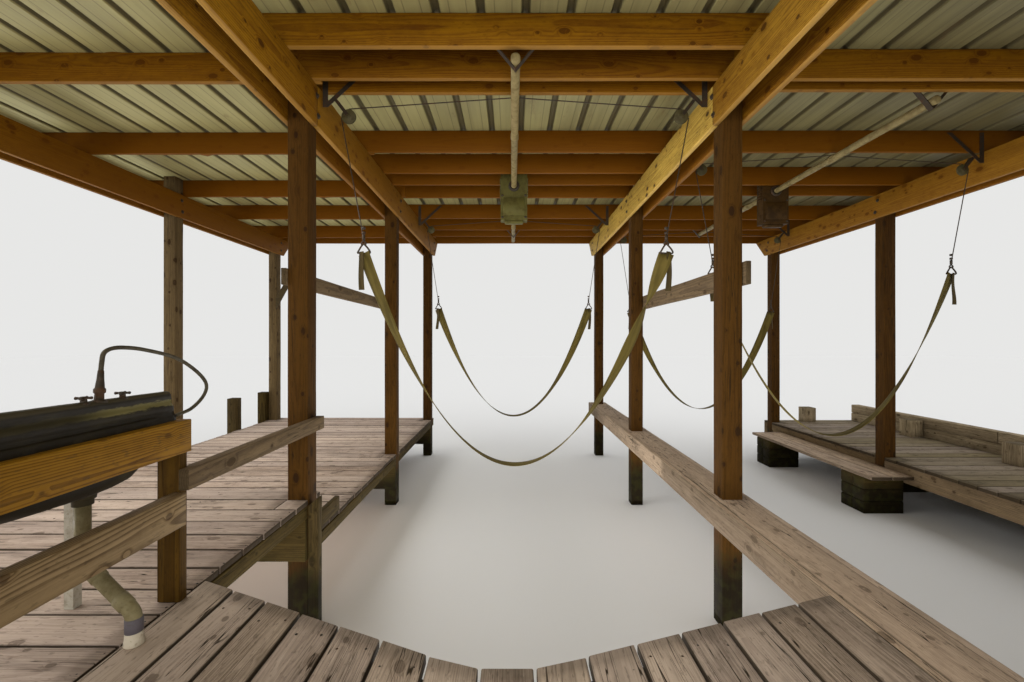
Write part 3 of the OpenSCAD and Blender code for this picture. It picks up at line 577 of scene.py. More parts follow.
def wood(name, light, dark, pale_light=None, pale_dark=None, knot=(0.022, 0.007, 0.002), ring=0.010, contrast=0.55,
         spread=0.45, dirt=(0.045, 0.032, 0.016), dirt_share=0.25, edge_dirt=0.25, wet_below=None, rough=0.75,
         bump=0.5, knots=1.0, cracks=0.5, grey=(0.40, 0.31, 0.24), grey_share=0.15, fibres=0.75, mottled=1.0,
         vary=0.45, end_dirt=0.4, gap_shade=0.0, underside=None, outside=None, lake_shade=0.0):
    """Wood as a solid: growth rings are circles round the pith, drawn by the distance from it and
    bent by slow noise and by knots; fibres are noise drawn out along the grain; each timber is
    lighter or darker by its own tint, and paler where it says so; painted shade can darken it towards the lake.
    The lower edges can take a painted highlight, as if lit from below by the water, the side faces of boards
    in their gaps can take painted shade, and outside is the colour of what stands beyond the outer girders."""
    f = Finish(name)
    grain = f.attribute("grain")
    tint, tint_2, paleness = f.parts(f.attribute("tint"))
    side, rise, end = f.parts(f.attribute("form"))
    _, v, w = f.parts(grain)
    large, small = f.cells(grain, (4.2, 7.5, 7.5)), f.cells(grain, (6.5, 9.0, 9.0))
    core = large.step(0.160, 0.138).math("MAXIMUM", small.step(0.125, 0.102)) * knots
    halo = large.step(0.31, 0.10).math("MAXIMUM", small.step(0.24, 0.08) * 0.7) * knots
    bend = f.noise(grain, (1.0, 5.0, 5.0)) - 0.5
    reach = (v * v + w * w) ** 0.5 + bend * 0.035 + halo * 0.016
    phase = (reach / ring).math("FRACT")
    late = phase.step(0.30, 0.88) * phase.step(1.0, 0.92)
    fibre = f.noise(grain, (3.5, 210.0, 210.0), 3.0, 0.65) - 0.5
    streak = f.noise(grain, (0.9, 38.0, 38.0), 4.0, 0.65) - 0.5
    patch = f.noise(grain, (1.6, 4.0, 4.0), 4.0, 0.6) - 0.5
    mottle = f.noise(grain, (10.0, 30.0, 30.0), 5.0, 0.75) - 0.5
    share = late * contrast + fibre * fibres + streak * 1.05 + patch * spread * 1.4 + mottle * mottled
    share = (share + (tint - 0.5) * vary + 0.18).clamped()
    if pale_light is None:
        shade = f.mix(share, light, dark)
    else:
        shade = f.mix(share, f.mix(paleness, light, pale_light), f.mix(paleness, dark, pale_dark))
    shade = f.mix((tint_2 * grey_share * 1.6).clamped(), shade, grey)
    shade = f.mix(halo * 0.55, shade, dark)
    heart = f.noise(grain, (60.0, 60.0, 60.0), 1.0).step(0.22, 0.38)
    shade = f.mix(core * 0.95 * heart, shade, knot)
    soil = f.noise(grain, (2.2, 8.0, 8.0), 4.0, 0.65).step(0.50, 0.72)
    shade = f.mix(soil * dirt_share, shade, dirt)
    rim = side.math("ABSOLUTE").step(0.80, 1.0).math("MAXIMUM", rise.math("ABSOLUTE").step(0.86, 1.0) * 0.5)
    shade = f.mix((rim + end.step(0.10, 0.0)).clamped() * edge_dirt, shade, dirt)
    shade = f.mix(end.step(0.004, 0.001) * end_dirt, shade, dirt)
    # Painted shade on a board's side faces, which lie in the narrow gaps between boards
    if gap_shade > 0:
        shade = f.mix(side.math("ABSOLUTE").step(0.965, 0.99) * gap_shade, shade, dirt)
    fleck = f.noise(grain, (26.0, 85.0, 85.0)).step(0.60, 0.68)
    shade = f.mix(fleck * 0.32, shade, dirt)
    # Drying cracks lie where a drawn-out noise crosses its middle value
    line = (f.noise(grain, (1.1, 46.0, 46.0), 1.0) - 0.5).math("ABSOLUTE").step(0.014, 0.004)
    line = line * f.noise(grain, (0.9, 7.0, 7.0), 1.0).step(0.48, 0.58)
    shade = f.mix(line * cracks, shade, dirt)
    # Painted highlight: the lower edges are lighter, as if lit from below by the water
    if underside is not None:
        shade = f.mix(rise.step(-0.950, -0.975) * 0.4, shade, underside)
    if outside is not None:
        shade = f.mix(outer_faces(f) * (0.88 - late * 0.4), shade, outside)
    # Painted shade: darker towards the lake, where less light reaches, except on the pale planks
    if lake_shade > 0:
        shade = f.mix(f.parts(f.place())[1].step(-2.5, 1.5) * (1.0 - paleness) * lake_shade, shade, dark)
    if wet_below is not None:
        shade = wet_foot(f, shade, wet_below)
    relief = (1.0 - late) * 0.30 + fibre * 0.8 - line * 1.5 - core * 0.3
    return f.finish(shade, rough + fibre * 0.3, height=relief, bump=bump, bump_size=0.0018, gloss=0.08)


def outer_faces(f):
    """A mask of what lies at most 8 mm inside the outer faces of the side girders and the end fascias."""
    left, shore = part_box("left_girder")[0].x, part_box("shore_girder")[1].x
    lake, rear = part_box("lake_fascia")[1].y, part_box("rear_fascia")[0].y
    x, y, _ = f.parts(f.place())
    face = x.step(shore - 0.016, shore - 0.008)
    for other in (x.step(left + 0.016, left + 0.008), y.step(lake - 0.016, lake - 0.008),
                  y.step(rear + 0.016, rear + 0.008)):
        face = face.math("MAXIMUM", other)
    return face


def wet_foot(f, shade, level):
    """Almost black wood below a level over the water, with a ragged edge, and algae a little above it."""
    place = f.place()
    edge = f.parts(place)[2] + (f.noise(place, 3.0) - 0.5) * 0.30
    shade = f.mix(edge.step(level + 0.12, level - 0.14) * 0.93, shade, (0.008, 0.006, 0.002))
    algae = edge.step(level + 0.30, level) * f.noise(place, 14.0).step(0.42, 0.66)
    return f.mix(algae * 0.4, shade, (0.030, 0.030, 0.006))


# Weathered boards: the grain is open, grey and dirty along the edges, and their side faces in the gaps take painted
# shade
BOARD = dict(knot=(0.05, 0.028, 0.016), ring=0.007, contrast=0.34, spread=0.56, dirt=(0.038, 0.026, 0.014),
             dirt_share=0.32, edge_dirt=0.45, end_dirt=0.95, gap_shade=0.85, rough=0.82, bump=0.9, cracks=1.0,
             grey=(0.46, 0.37, 0.32), grey_share=0.32, knots=0.5, fibres=1.4, vary=0.75)
# Each wood's group of colours, the first words of its light and dark colours and of the paler pair, and what
# sets it apart; a word stands for a colour of the group
WOODS = {
    # Yellow-brown wood of the girders, joists and fascias, with painted shade towards the lake and a painted highlight
    # on the lower edges
    "frame_wood": ("timber", ("frame_", "pale_"), dict(
        rough=0.6, bump=0.4, cracks=0.35, dirt=(0.05, 0.026, 0.004), grey_share=0.02, underside="underside",
        outside=(0.21, 0.135, 0.060), lake_shade=0.95, mottled=1.3)),
    # Brown posts that stand over the slips
    "post_wood": ("timber", ("post_",), dict(
        knot=(0.020, 0.009, 0.003), contrast=0.35, wet_below=0.45, rough=0.78, bump=0.7, cracks=0.9,
        dirt=(0.024, 0.013, 0.003), grey_share=0.0, knots=0.8)),
    # Greyer posts that stand in the open
    "bleached_wood": ("timber", ("bleached_",), dict(
        contrast=0.4, wet_below=0.45, rough=0.8, bump=0.7, cracks=0.9, dirt=(0.05, 0.032, 0.016), grey_share=0.12,
        knots=0.8)),
    # Damp dark timber below the decks
    "pile_wood": ("timber", ("pile_",), dict(
        knot=(0.014, 0.009, 0.004), dirt=(0.022, 0.016, 0.004), dirt_share=0.5, wet_below=0.35, rough=0.85, bump=0.8,
        cracks=1.0, knots=0.6, grey_share=0.03)),
    # Grey-brown weathered timber of the curb, the hand rail, the ties and the shore deck's face
    "worn_wood": ("timber", ("worn_", "curb_"), dict(
        contrast=0.5, dirt=(0.045, 0.030, 0.012), dirt_share=0.35, rough=0.8, bump=0.7, cracks=0.9, knots=0.6,
        grey_share=0.08, fibres=1.0, end_dirt=0.6)),
    # Newer yellow boards with straight grain, and the weathered lower one
    "guard_wood": ("timber", ("board_", "aged_"), dict(
        ring=0.008, contrast=0.72, spread=0.35, dirt_share=0.12, edge_dirt=0.1, rough=0.6, bump=0.35, cracks=0.2,
        grey_share=0.0, knots=0.5)),
    # Dark brown post of the guard
    "rail_wood": ("timber", ("rail_",), dict(
        contrast=0.5, rough=0.7, bump=0.5, cracks=0.7, grey_share=0.0, knots=0.8, dirt=(0.024, 0.013, 0.004))),
    "rear_boards": ("deck", ("",), BOARD),
    "left_boards": ("deck", ("bleached_",), BOARD),
    "shore_boards": ("deck", ("shore_",), BOARD),
    # Thick planks, whose side faces take less painted shade
    "walk_boards": ("deck", ("walk_",), {**BOARD, "vary": 0.2, "gap_shade": 0.48}),
}


@functools.cache
def wood_finish(name):
    """The wood of a name in WOODS, made when it is first asked for."""
    key, words, looks = WOODS[name]
    group = getattr(bpy.context.scene, "boathouse_" + key)
    colours = [getattr(group, word + tone) for word in words for tone in ("light", "dark")]
    return wood(name, *colours, **{k: getattr(group, v) if isinstance(v, str) else v for k, v in looks.items()})


@functools.cache
def damp_wood():
    """Damp timber for a node that keeps its own mesh, drawn with object coordinates."""
    t = bpy.context.scene.boathouse_timber
    f = Finish("damp_wood")
    fibre = f.noise(f.place(), (4.0, 60.0, 60.0), 3.0)
    return f.finish(f.mix(fibre, t.pile_dark, t.pile_light), 0.85, height=fibre, bump=0.4)


# Timbers that stand for their CAD nodes

POST_WOODS = {"left_posts": "bleached_wood", "slip_left_posts": "post_wood", "slip_right_posts": "post_wood",
              "shore_posts": "post_wood", "corner_pile": "pile_wood"}
# How much the near and the far planks on the slip's side of each girder are of the lighter wood
PALE_SIDES = {"left_girder": (0.0, 0.15), "slip_left_girder": (0.06, 0.22), "slip_right_girder": (0.35, 1.0),
              "shore_girder": (0.30, 0.80)}
# How much the other planks are
PALE_BACK = 0.08
# The planks on the slips' sides meet over the middle row of posts, this near to the part's own middle
SPLIT_ROOM = 0.05
# How far a bolt stands inside a girder's upper or lower edge, and beside the post's middle, in metres
BOLT_INSET, BOLT_STRAY = 0.075, 0.025
JOIST_NODES = ("left_joists", "slip_joists", "shore_joists", "lake_fascia", "rear_fascia", "side_fascias")
FRAMING_NODES = ("deck_beams", "left_deck_joists", "lower_deck_joists", "shore_rear_joists", "shore_deck_joists",
                 "walkway_blocks", "mooring_piles", "curb_stubs")
# How much the curb, its stubs and the cribs are of the bleached wood
CURB_PALE = 0.8
# Height and width of a timber in the curb and the cribs, its length, the first length in every other course and
# the shortest one, in metres
COURSE_RISE, COURSE_WIDTH, COURSE_LENGTH, FIRST_LENGTH, LAST_LENGTH = 0.14, 0.16, 2.5, 1.4, 0.6
# Radius of such a timber's edges, the gap to the next ones beside and above it, and what its ends stand back
COURSE_EDGE, COURSE_GAP, COURSE_BACK = 0.008, 0.003, 0.002
TIE_WOODS = {"left_tie_board": "worn_wood", "right_tie_board": "worn_wood", "guard_post": "rail_wood"}


def dress(node, wood_name, slot, seed, along=None, **form):
    """Replaces a node of straight timbers by sawn ones of the same boxes."""
    rng = np.random.default_rng(seed)
    t = bpy.context.scene.boathouse_timber
    cloth = Cloth()
    for low, high in cad_solids(node):
        add_timber(cloth, low, high, longest(low, high) if along is None else along, rng, t.edge,
                   station=t.station, **form)
    cloth.piece(node + "_timber", wood_finish(wood_name), slot, (node,))


def recoat(node, material):
    """Gives a CAD node its finish."""
    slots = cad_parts[node].data.materials
    slots.clear()
    slots.append(material)


class BOATHOUSE_OT_posts(bpy.types.Operator):
    """Dresses the posts"""

    bl_idname = "boathouse.posts"
    bl_label = "Posts"

    def execute(self, context):
        wane = context.scene.boathouse_timber.wane
        for k, (node, wood_name) in enumerate(POST_WOODS.items()):
            dress(node, wood_name, "post_wood", SEEDS["posts"] + k, along=ALONG_Z, wane=wane * 0.5, boxed=True,
                  slant=0.8 if node == "corner_pile" else 0.0)
        return {"FINISHED"}


class BOATHOUSE_OT_girders(bpy.types.Operator):
    """Dresses the girder planks, whose lake ends are cut back below"""

    bl_idname = "boathouse.girders"
    bl_label = "Girders"

    def execute(self, context):
        t = context.scene.boathouse_timber
        bolts = Cloth()
        for k, (node, (near, far)) in enumerate(PALE_SIDES.items()):
            rng = np.random.default_rng(SEEDS["girders"] + k)
            cloth = Cloth()
            low_box, high_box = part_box(node)
            for low, high in cad_solids(node):
                rake = 1.0 if high[1] > high_box.y - NEAR else 0.0
                inner = high[0] > high_box.x - NEAR if node == "slip_left_girder" else low[0] < low_box.x + NEAR
                pale = (far if low[1] > -SPLIT_ROOM else near) if inner else PALE_BACK
                add_timber(cloth, low, high, ALONG_Y, rng, t.edge, wane=t.wane * 0.6, station=t.station, rake=rake,
                           paleness=pale)
            cloth.piece(node + "_planks", wood_finish("frame_wood"), "frame_wood", (node,))
            for low, high in cad_solids("slip_left_posts"):
                for z in (low_box.z + BOLT_INSET, high_box.z - BOLT_INSET):
                    y = (low[1] + high[1]) / 2 + rng.uniform(-BOLT_STRAY, BOLT_STRAY)
                    add_bolt(bolts, (low_box.x, y, z), (-1.0, 0.0, 0.0))
                    add_bolt(bolts, (high_box.x, y, z), (1.0, 0.0, 0.0))
        bolts.piece("girder_bolts", steel_finish(), "hoist_steel")
        return {"FINISHED"}


def add_bolt(cloth, place, outwards, size=0.011):
    """A washer and a six-sided nut, turned round the outward direction."""
    cloth.add(*turned(place, outwards, [(-0.002, size * 1.9), (0.002, size * 2.0), (0.0035, size * 1.8)], 12))
    cloth.add(*turned(place, outwards, [(0.003, size), (0.012, size), (0.014, size * 0.8)], 6))


class BOATHOUSE_OT_joists(bpy.types.Operator):
    """Dresses the roof joists and the fascia boards"""

    bl_idname = "boathouse.joists"
    bl_label = "Joists and fascias"

    def execute(self, context):
        wane = context.scene.boathouse_timber.wane
        for k, node in enumerate(JOIST_NODES):
            joist = node.endswith("joists")
            dress(node, "frame_wood", "frame_wood" if joist else "dark_wood", SEEDS["joists"] + k,
                  wane=wane if joist else 0.0, burls=2 if node == "left_joists" else 0)
        return {"FINISHED"}


class BOATHOUSE_OT_framing(bpy.types.Operator):
    """Dresses the timber below the decks, the piles, the cribs and the curb"""

    bl_idname = "boathouse.framing"
    bl_label = "Deck framing"

    def execute(self, context):
        t = context.scene.boathouse_timber
        for k, node in enumerate(FRAMING_NODES):
            dress(node, "worn_wood" if node == "curb_stubs" else "pile_wood", "dark_wood", SEEDS["framing"] + k,
                  along=ALONG_Z if node in ("mooring_piles", "curb_stubs") else None, wane=t.wane * 0.5,
                  paleness=CURB_PALE)
        recoat("rear_deck_joists", damp_wood())
        rng = np.random.default_rng(SEEDS["stacks"])
        for node, wood_name in (("shore_curb", "worn_wood"), ("step_crib", "pile_wood")):
            cloth = Cloth()
            for low, high in cad_solids(node):
                stack_timbers(cloth, low, high, rng, t)
            cloth.piece(node + "_timbers", wood_finish(wood_name), "dark_wood", (node,))
        return {"FINISHED"}


def stack_timbers(cloth, low, high, rng, t):
    """Courses of square timbers that fill a box, one on the other, each course in lengths of about 2.5 m."""
    along = longest(low[:2], high[:2])
    across = 1 - along
    courses = max(1, round((high[2] - low[2]) / COURSE_RISE))
    rise = (high[2] - low[2]) / courses
    rows = max(1, round((high[across] - low[across]) / COURSE_WIDTH))
    deep = (high[across] - low[across]) / rows
    for course in range(courses):
        joints = [low[along]]
        step = COURSE_LENGTH if course % 2 else FIRST_LENGTH
        while joints[-1] + step < high[along] - LAST_LENGTH:
            joints.append(joints[-1] + step)
            step = COURSE_LENGTH
        joints.append(high[along])
        for row in range(rows):
            for a, b in zip(joints[:-1], joints[1:]):
                start, end = np.array(low, float), np.array(high, float)
                start[along], end[along] = a + COURSE_BACK, b - COURSE_BACK
                start[2], end[2] = low[2] + course * rise, low[2] + (course + 1) * rise - COURSE_GAP
                start[across] = low[across] + row * deep
                end[across] = low[across] + (row + 1) * deep - COURSE_GAP
                add_timber(cloth, start, end, along, rng, COURSE_EDGE, wane=t.wane, station=t.station,
                           paleness=CURB_PALE)


class BOATHOUSE_OT_guards(bpy.types.Operator):
    """Dresses the tie boards, the brace, the guard and the hand rail"""

    bl_idname = "boathouse.guards"
    bl_label = "Guards and ties"

    def execute(self, context):
        t = context.scene.boathouse_timber
        for k, (node, wood_name) in enumerate(TIE_WOODS.items()):
            dress(node, wood_name, "frame_wood", SEEDS["ties"] + k)
        rng = np.random.default_rng(SEEDS["guards"])
        cloth = Cloth()
        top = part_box("guard_boards")[1].z
        for low, high in cad_solids("guard_boards"):
            upper = high[2] > top - NEAR
            if high[1] - low[1] > 0.3:
                # The long boards stop a little short of the CAD form's end, the lower one more
                high = high - (0.0, 0.024 if upper else 0.055, 0.0)
            add_timber(cloth, low, high, ALONG_Y, rng, t.edge, station=t.station, paleness=0.0 if upper else 1.0)
        cloth.piece("guard_boards_timber", wood_finish("guard_wood"), "new_board", ("guard_boards",))
        cloth = Cloth()
        for low, high in cad_solids("hand_rail"):
            add_timber(cloth, low, high, ALONG_Y, rng, t.edge, station=t.station)
        cloth.piece("hand_rail_timber", wood_finish("worn_wood"), "frame_wood", ("hand_rail",))
        recoat("knee_brace", damp_wood())
        return {"FINISHED"}


# Deck boards

# Width of a rear deck's board with its gap, in metres
REAR_BOARD = 0.182
# Room between a board and a post, and between a board's end and the deck's, in metres
POST_ROOM, END_ROOM = 0.003, 0.004
# Length over which a board's far end is drawn to its slanting line, and the shortest board, in metres
END_REACH, SHORTEST = 0.9, 0.03
# How far the nails of the rear deck stand inside a board's edges, and the last ones before its end, in metres
NAIL_INSET, NAIL_BACK = 0.04, 0.10
# Where the nails of the other decks stand in a board's width, as a share of it from each edge
NAIL_SHARE = 0.22
# Decks with boards across the boathouse, the joists below them and their wood
CROSSWISE = (("left_deck", "left_deck_joists", "left_boards"), ("lower_deck", "lower_deck_joists", "left_boards"),
             ("shore_rear_deck", "shore_rear_joists", "shore_boards"),
             ("shore_deck", "shore_deck_joists", "shore_boards"))
DECK_TRIM = {"walkway_plank": "walk_boards", "walkway_beams": "walk_boards", "boarding_step": "walk_boards",
             "shore_deck_fascia": "worn_wood", "deck_step_board": "pile_wood"}
# The bow notch in the rear deck: its tip and the radius of the arc there in metres, and the angles of its sides
NOTCH_TIP = (-0.065 - MIDDLE_X, 3.11 - MIDDLE_Y)
NOTCH_ARC = 0.6
NOTCH_LEFT, NOTCH_RIGHT = math.radians(24.0), math.radians(19.0)


def post_boxes():
    """The boxes of all posts and of the corner pile."""
    return [box for node in POST_WOODS for box in cad_solids(node)]


def split_edges(start, end, pitch):
    """Edges of boards that fill a stretch, the pitch adjusted so that they come out even."""
    count = max(1, round((end - start) / pitch))
    return np.linspace(start, end, count + 1)


def free_stretches(start, end, blocks):
    """What is left of a stretch between blocks, each a (start, end) pair."""
    found, place = [], start
    for a, b in sorted(blocks):
        if a > place:
            found.append((place, min(a, end)))
        place = max(place, b)
    if place < end:
        found.append((place, end))
    return [(a, b) for a, b in found if b - a > SHORTEST]


def add_nails(cloth, places, top, rng, deck):
    """Nail heads, each a low six-sided dome, set at places a little off their line."""
    for x, y in places:
        off = rng.uniform(-0.006, 0.006, 2)
        cloth.add(*turned((x + off[0], y + off[1], top), (0.0, 0.0, 1.0),
                          [(-0.004, deck.nail), (0.0008, deck.nail), (0.0016, deck.nail * 0.5)], 6))


def add_board(cloth, low, high, along, rng, deck, end_line=None):
    """One deck board: a thin timber with worn edges, its top a little warped. end_line gives the far
    end's place as a function of the place across."""
    lift = rng.uniform(-1, 1) * deck.warp * 0.5
    low, high = np.array(low, float), np.array(high, float)
    low[2] += lift
    high[2] += lift
    add_timber(cloth, low, high, along, rng, deck.edge, station=0.12, bow=0.0012)
    if end_line is None:
        return
    points = cloth.points[-1]
    across = 1 - along
    reach = end_line(points[:, across])
    start = high[along] - END_REACH
    far = points[:, along] > start
    points[:, along] = np.where(far, start + (points[:, along] - start) * (reach - start) / (high[along] - start),
                                points[:, along])


def crosswise_boards(node, joists, wood_name, seed):
    """Boards across the boathouse that fill a deck node's box, cut where posts stand, nailed to the joists."""
    deck = bpy.context.scene.boathouse_deck
    rng = np.random.default_rng(seed)
    low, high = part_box(node)
    cloth, nails = Cloth(), Cloth()
    edges = split_edges(low.y, high.y, deck.board)
    posts = [box for box in post_boxes() if box[1][0] > low.x + NEAR and box[0][0] < high.x - NEAR]
    lines = sorted({round((a[0] + b[0]) / 2, 3) for a, b in cad_solids(joists)})
    for a, b in zip(edges[:-1], edges[1:]):
        y0, y1 = a + deck.gap / 2, b - deck.gap / 2
        hits = [p for p in posts if p[1][1] > y0 and p[0][1] < y1]
        spans = free_stretches(low.x, high.x, [(p[0][0] - POST_ROOM, p[1][0] + POST_ROOM) for p in hits])
        jut = rng.uniform(-1, 1, 2) * END_ROOM
        for k, (x0, x1) in enumerate(spans):
            add_board(cloth, (x0 + (jut[0] if k == 0 else 0) + END_ROOM, y0, low.z),
                      (x1 + (jut[1] if k == len(spans) - 1 else 0) - END_ROOM, y1, high.z), ALONG_X, rng, deck)
            places = [(x, y) for x in lines if x0 + NEAR < x < x1 - NEAR
                      for y in (y0 + NAIL_SHARE * (y1 - y0), y1 - NAIL_SHARE * (y1 - y0))]
            add_nails(nails, places, high.z, rng, deck)
        for p in hits:
            for s0, s1 in free_stretches(y0, y1, [(p[0][1] - POST_ROOM, p[1][1] + POST_ROOM)]):
                add_board(cloth, (max(p[0][0], low.x) - END_ROOM, s0, low.z),
                          (min(p[1][0], high.x) + END_ROOM, s1, high.z), ALONG_X, rng, deck)
    cloth.piece(node + "_boards", wood_finish(wood_name), "deck_wood", (node,))
    nails.piece(node + "_nails", steel_finish(), "hoist_steel")


def notch_line(x):
    """The bow notch's edge: two straight sides at 24 and 19 degrees that meet in an arc of 0.6 m."""
    tip_x, tip_y = NOTCH_TIP
    half = (math.pi - NOTCH_LEFT - NOTCH_RIGHT) / 2
    axis = (math.pi - NOTCH_LEFT + NOTCH_RIGHT) / 2
    reach = NOTCH_ARC / math.sin(half)
    corner_y = tip_y - (reach - NOTCH_ARC)
    centre_x = tip_x + reach * math.cos(axis)
    centre_y = corner_y + reach * math.sin(axis)
    sides = corner_y + np.where(x < tip_x, (tip_x - x) * math.tan(NOTCH_LEFT), (x - tip_x) * math.tan(NOTCH_RIGHT))
    drop = np.sqrt(np.maximum(NOTCH_ARC * NOTCH_ARC - (x - centre_x) ** 2, 0.0))
    in_arc = (x > centre_x - NOTCH_ARC * math.sin(NOTCH_LEFT)) & (x < centre_x + NOTCH_ARC * math.sin(NOTCH_RIGHT))
    return np.where(in_arc, centre_y - drop, sides)


class BOATHOUSE_OT_decks(bpy.types.Operator):
    """Lays the deck boards"""

    bl_idname = "boathouse.decks"
    bl_label = "Deck boards"

    def execute(self, context):
        for k, row in enumerate(CROSSWISE):
            crosswise_boards(*row, SEEDS["decks"] + k)
        self.rear_deck(context.scene.boathouse_deck)
        for k, (node, wood_name) in enumerate(DECK_TRIM.items()):
            dress(node, wood_name, "deck_wood", SEEDS["deck_trim"] + k, along=ALONG_Y)
        return {"FINISHED"}

    def rear_deck(self, deck):
        """Boards along the boathouse, cut to the bow notch's line, with a row of nails over each joist and one
        before the notch."""
        low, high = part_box("rear_deck")
        rng = np.random.default_rng(SEEDS["rear_deck"])
        cloth, nails = Cloth(), Cloth()
        edges = split_edges(low.x, high.x, REAR_BOARD)
        lines = [(a[1] + b[1]) / 2 for a, b in cad_solids("rear_deck_joists") if b[1] - a[1] < 0.06]
        for a, b in zip(edges[:-1], edges[1:]):
            end = float(notch_line((a + b) / 2))
            add_board(cloth, (a + deck.gap / 2, low.y, low.z), (b - deck.gap / 2, end, high.z), ALONG_Y, rng, deck,
                      end_line=notch_line)
            rows = [y for y in (*lines, end - NAIL_BACK) if y < end - NAIL_BACK / 2]
            places = [(x, y) for y in rows for x in (a + NAIL_INSET, b - NAIL_INSET)]
            add_nails(nails, places, high.z, rng, deck)
        cloth.piece("rear_deck_boards", wood_finish("rear_boards"), "deck_wood", ("rear_deck",))
        nails.piece("rear_deck_nails", steel_finish(), "hoist_steel")


# Roof

# Middle of one rib, the distance between two and a sheet's length, in metres
RIB_START, RIB_PITCH, SHEET_LENGTH = 0.063 - MIDDLE_X, 0.275, 3.05


@functools.cache
def sheet_finish():
    """Pale metal with painted light and shade, lighter at the open left side and shaded towards the shore, and ribs
    painted darker for the shade and dirt in their channels: the rib mask is the height above the sheet, and two
    fine lines stand on each side of every rib."""
    r = bpy.context.scene.boathouse_roof
    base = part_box("slip_roof_sheets")[0].z
    near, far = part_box("left_roof_sheets")[0].x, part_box("shore_roof_sheets")[1].x
    f = Finish("roof_sheet")
    place = f.place()
    x, y, z = f.parts(place)
    # Painted shade with some dirt inside each rib's channel, found by the height above the sheet
    rib = z.step(base + 0.004, base + 0.014)
    cloud = f.noise(place, (2.2, 0.7, 1.0), 4.0) - 0.5
    streak = f.noise(place, (26.0, 0.9, 1.0), 3.0) - 0.5
    # Painted light and shade: lighter towards the open left side and shaded towards the shore, mottled by cloud and
    # streaks
    shade = f.mix((x.step(near, far) * 0.95 + cloud * 0.9 + streak * 0.5 + 0.05).clamped(), r.sheet, r.shaded)
    # A rib stands at RIB_START plus a whole number of pitches
    turn = ((x - RIB_START) / RIB_PITCH).math("FRACT")
    across = (turn - 0.5).math("ABSOLUTE") * -RIB_PITCH + RIB_PITCH / 2
    fine = (across - r.minor).math("ABSOLUTE").step(0.006, 0.001)
    joint = ((y + streak * 0.02) / SHEET_LENGTH).math("FRACT").step(0.006, 0.001)
    for amount in (fine * 0.5, rib * 0.92, joint * 0.3):
        shade = f.mix(amount, shade, r.rib)
    rust = f.noise(place, (7.0, 2.0, 1.0), 5.0, 0.7).step(0.60, 0.74)
    shade = f.mix(rust * 0.45, shade, (0.15, 0.080, 0.030))
    return f.finish(shade, 0.5, metallic=0.1, height=fine + streak * 0.3, bump=0.15)


class BOATHOUSE_OT_roof(bpy.types.Operator):
    """Finishes the roof sheets"""

    bl_idname = "boathouse.roof"
    bl_label = "Roof"

    def execute(self, context):
        for node in ("left_roof_sheets", "slip_roof_sheets", "shore_roof_sheets"):
            recoat(node, sheet_finish())
        return {"FINISHED"}


# Hoists

@functools.cache
def steel_finish():
    """Dark steel with brown rust."""
    h = bpy.context.scene.boathouse_hoist
    f = Finish("hoist_steel")
    rust = f.noise(f.place(), 22.0, 4.0, 0.65).step(0.45, 0.7)
    return f.finish(f.mix(rust * 0.7, h.steel, (0.10, 0.045, 0.018)), 0.55 + rust * 0.3, metallic=0.4, height=rust,
                    bump=0.2)


def paint_finish(name, shade, worn, scale=9.0):
    """Paint or plastic with stains of a second colour in clouds and in fine specks."""
    f = Finish(name)
    place = f.place()
    dirt = f.noise(place, scale, 5.0, 0.65).step(0.40, 0.70)
    speck = f.noise(place, scale * 9.0).step(0.58, 0.70)
    shade = f.mix(speck * 0.35, f.mix(dirt * 0.6, shade, worn), worn)
    return f.finish(shade, 0.5 + dirt * 0.3, height=dirt + speck, bump=0.12, gloss=0.15)


def drive_finish():
    """Olive paint of the drive over the slips, rusted on the one by the shore: the rust comes in along Object X
    between the two."""
    h = bpy.context.scene.boathouse_hoist
    low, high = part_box("hoist_drives")
    middle = (low.x + high.x) / 2
    f = Finish("drive_paint")
    place = f.place()
    dirt = f.noise(place, 11.0, 5.0, 0.65).step(0.40, 0.70)
    paint = f.mix(dirt * 0.6, h.paint, (0.05, 0.034, 0.010))
    rusted = f.mix(dirt * 0.7, h.rusty, (0.020, 0.011, 0.004))
    shade = f.mix(f.parts(place)[0].step(middle - 0.2, middle + 0.2), paint, rusted)
    return f.finish(shade, 0.55 + dirt * 0.3, height=dirt, bump=0.15, gloss=0.15)


# Points around a large turned form
FINE_ROUND = 28
# Place of the first coupling on a shaft and the distance between two, in metres
FIRST_COUPLING, COUPLING_STEP = 1.05, 1.55
# How far a shaft's middle lies below the top of its drive, in metres
SHAFT_DEPTH = 0.171


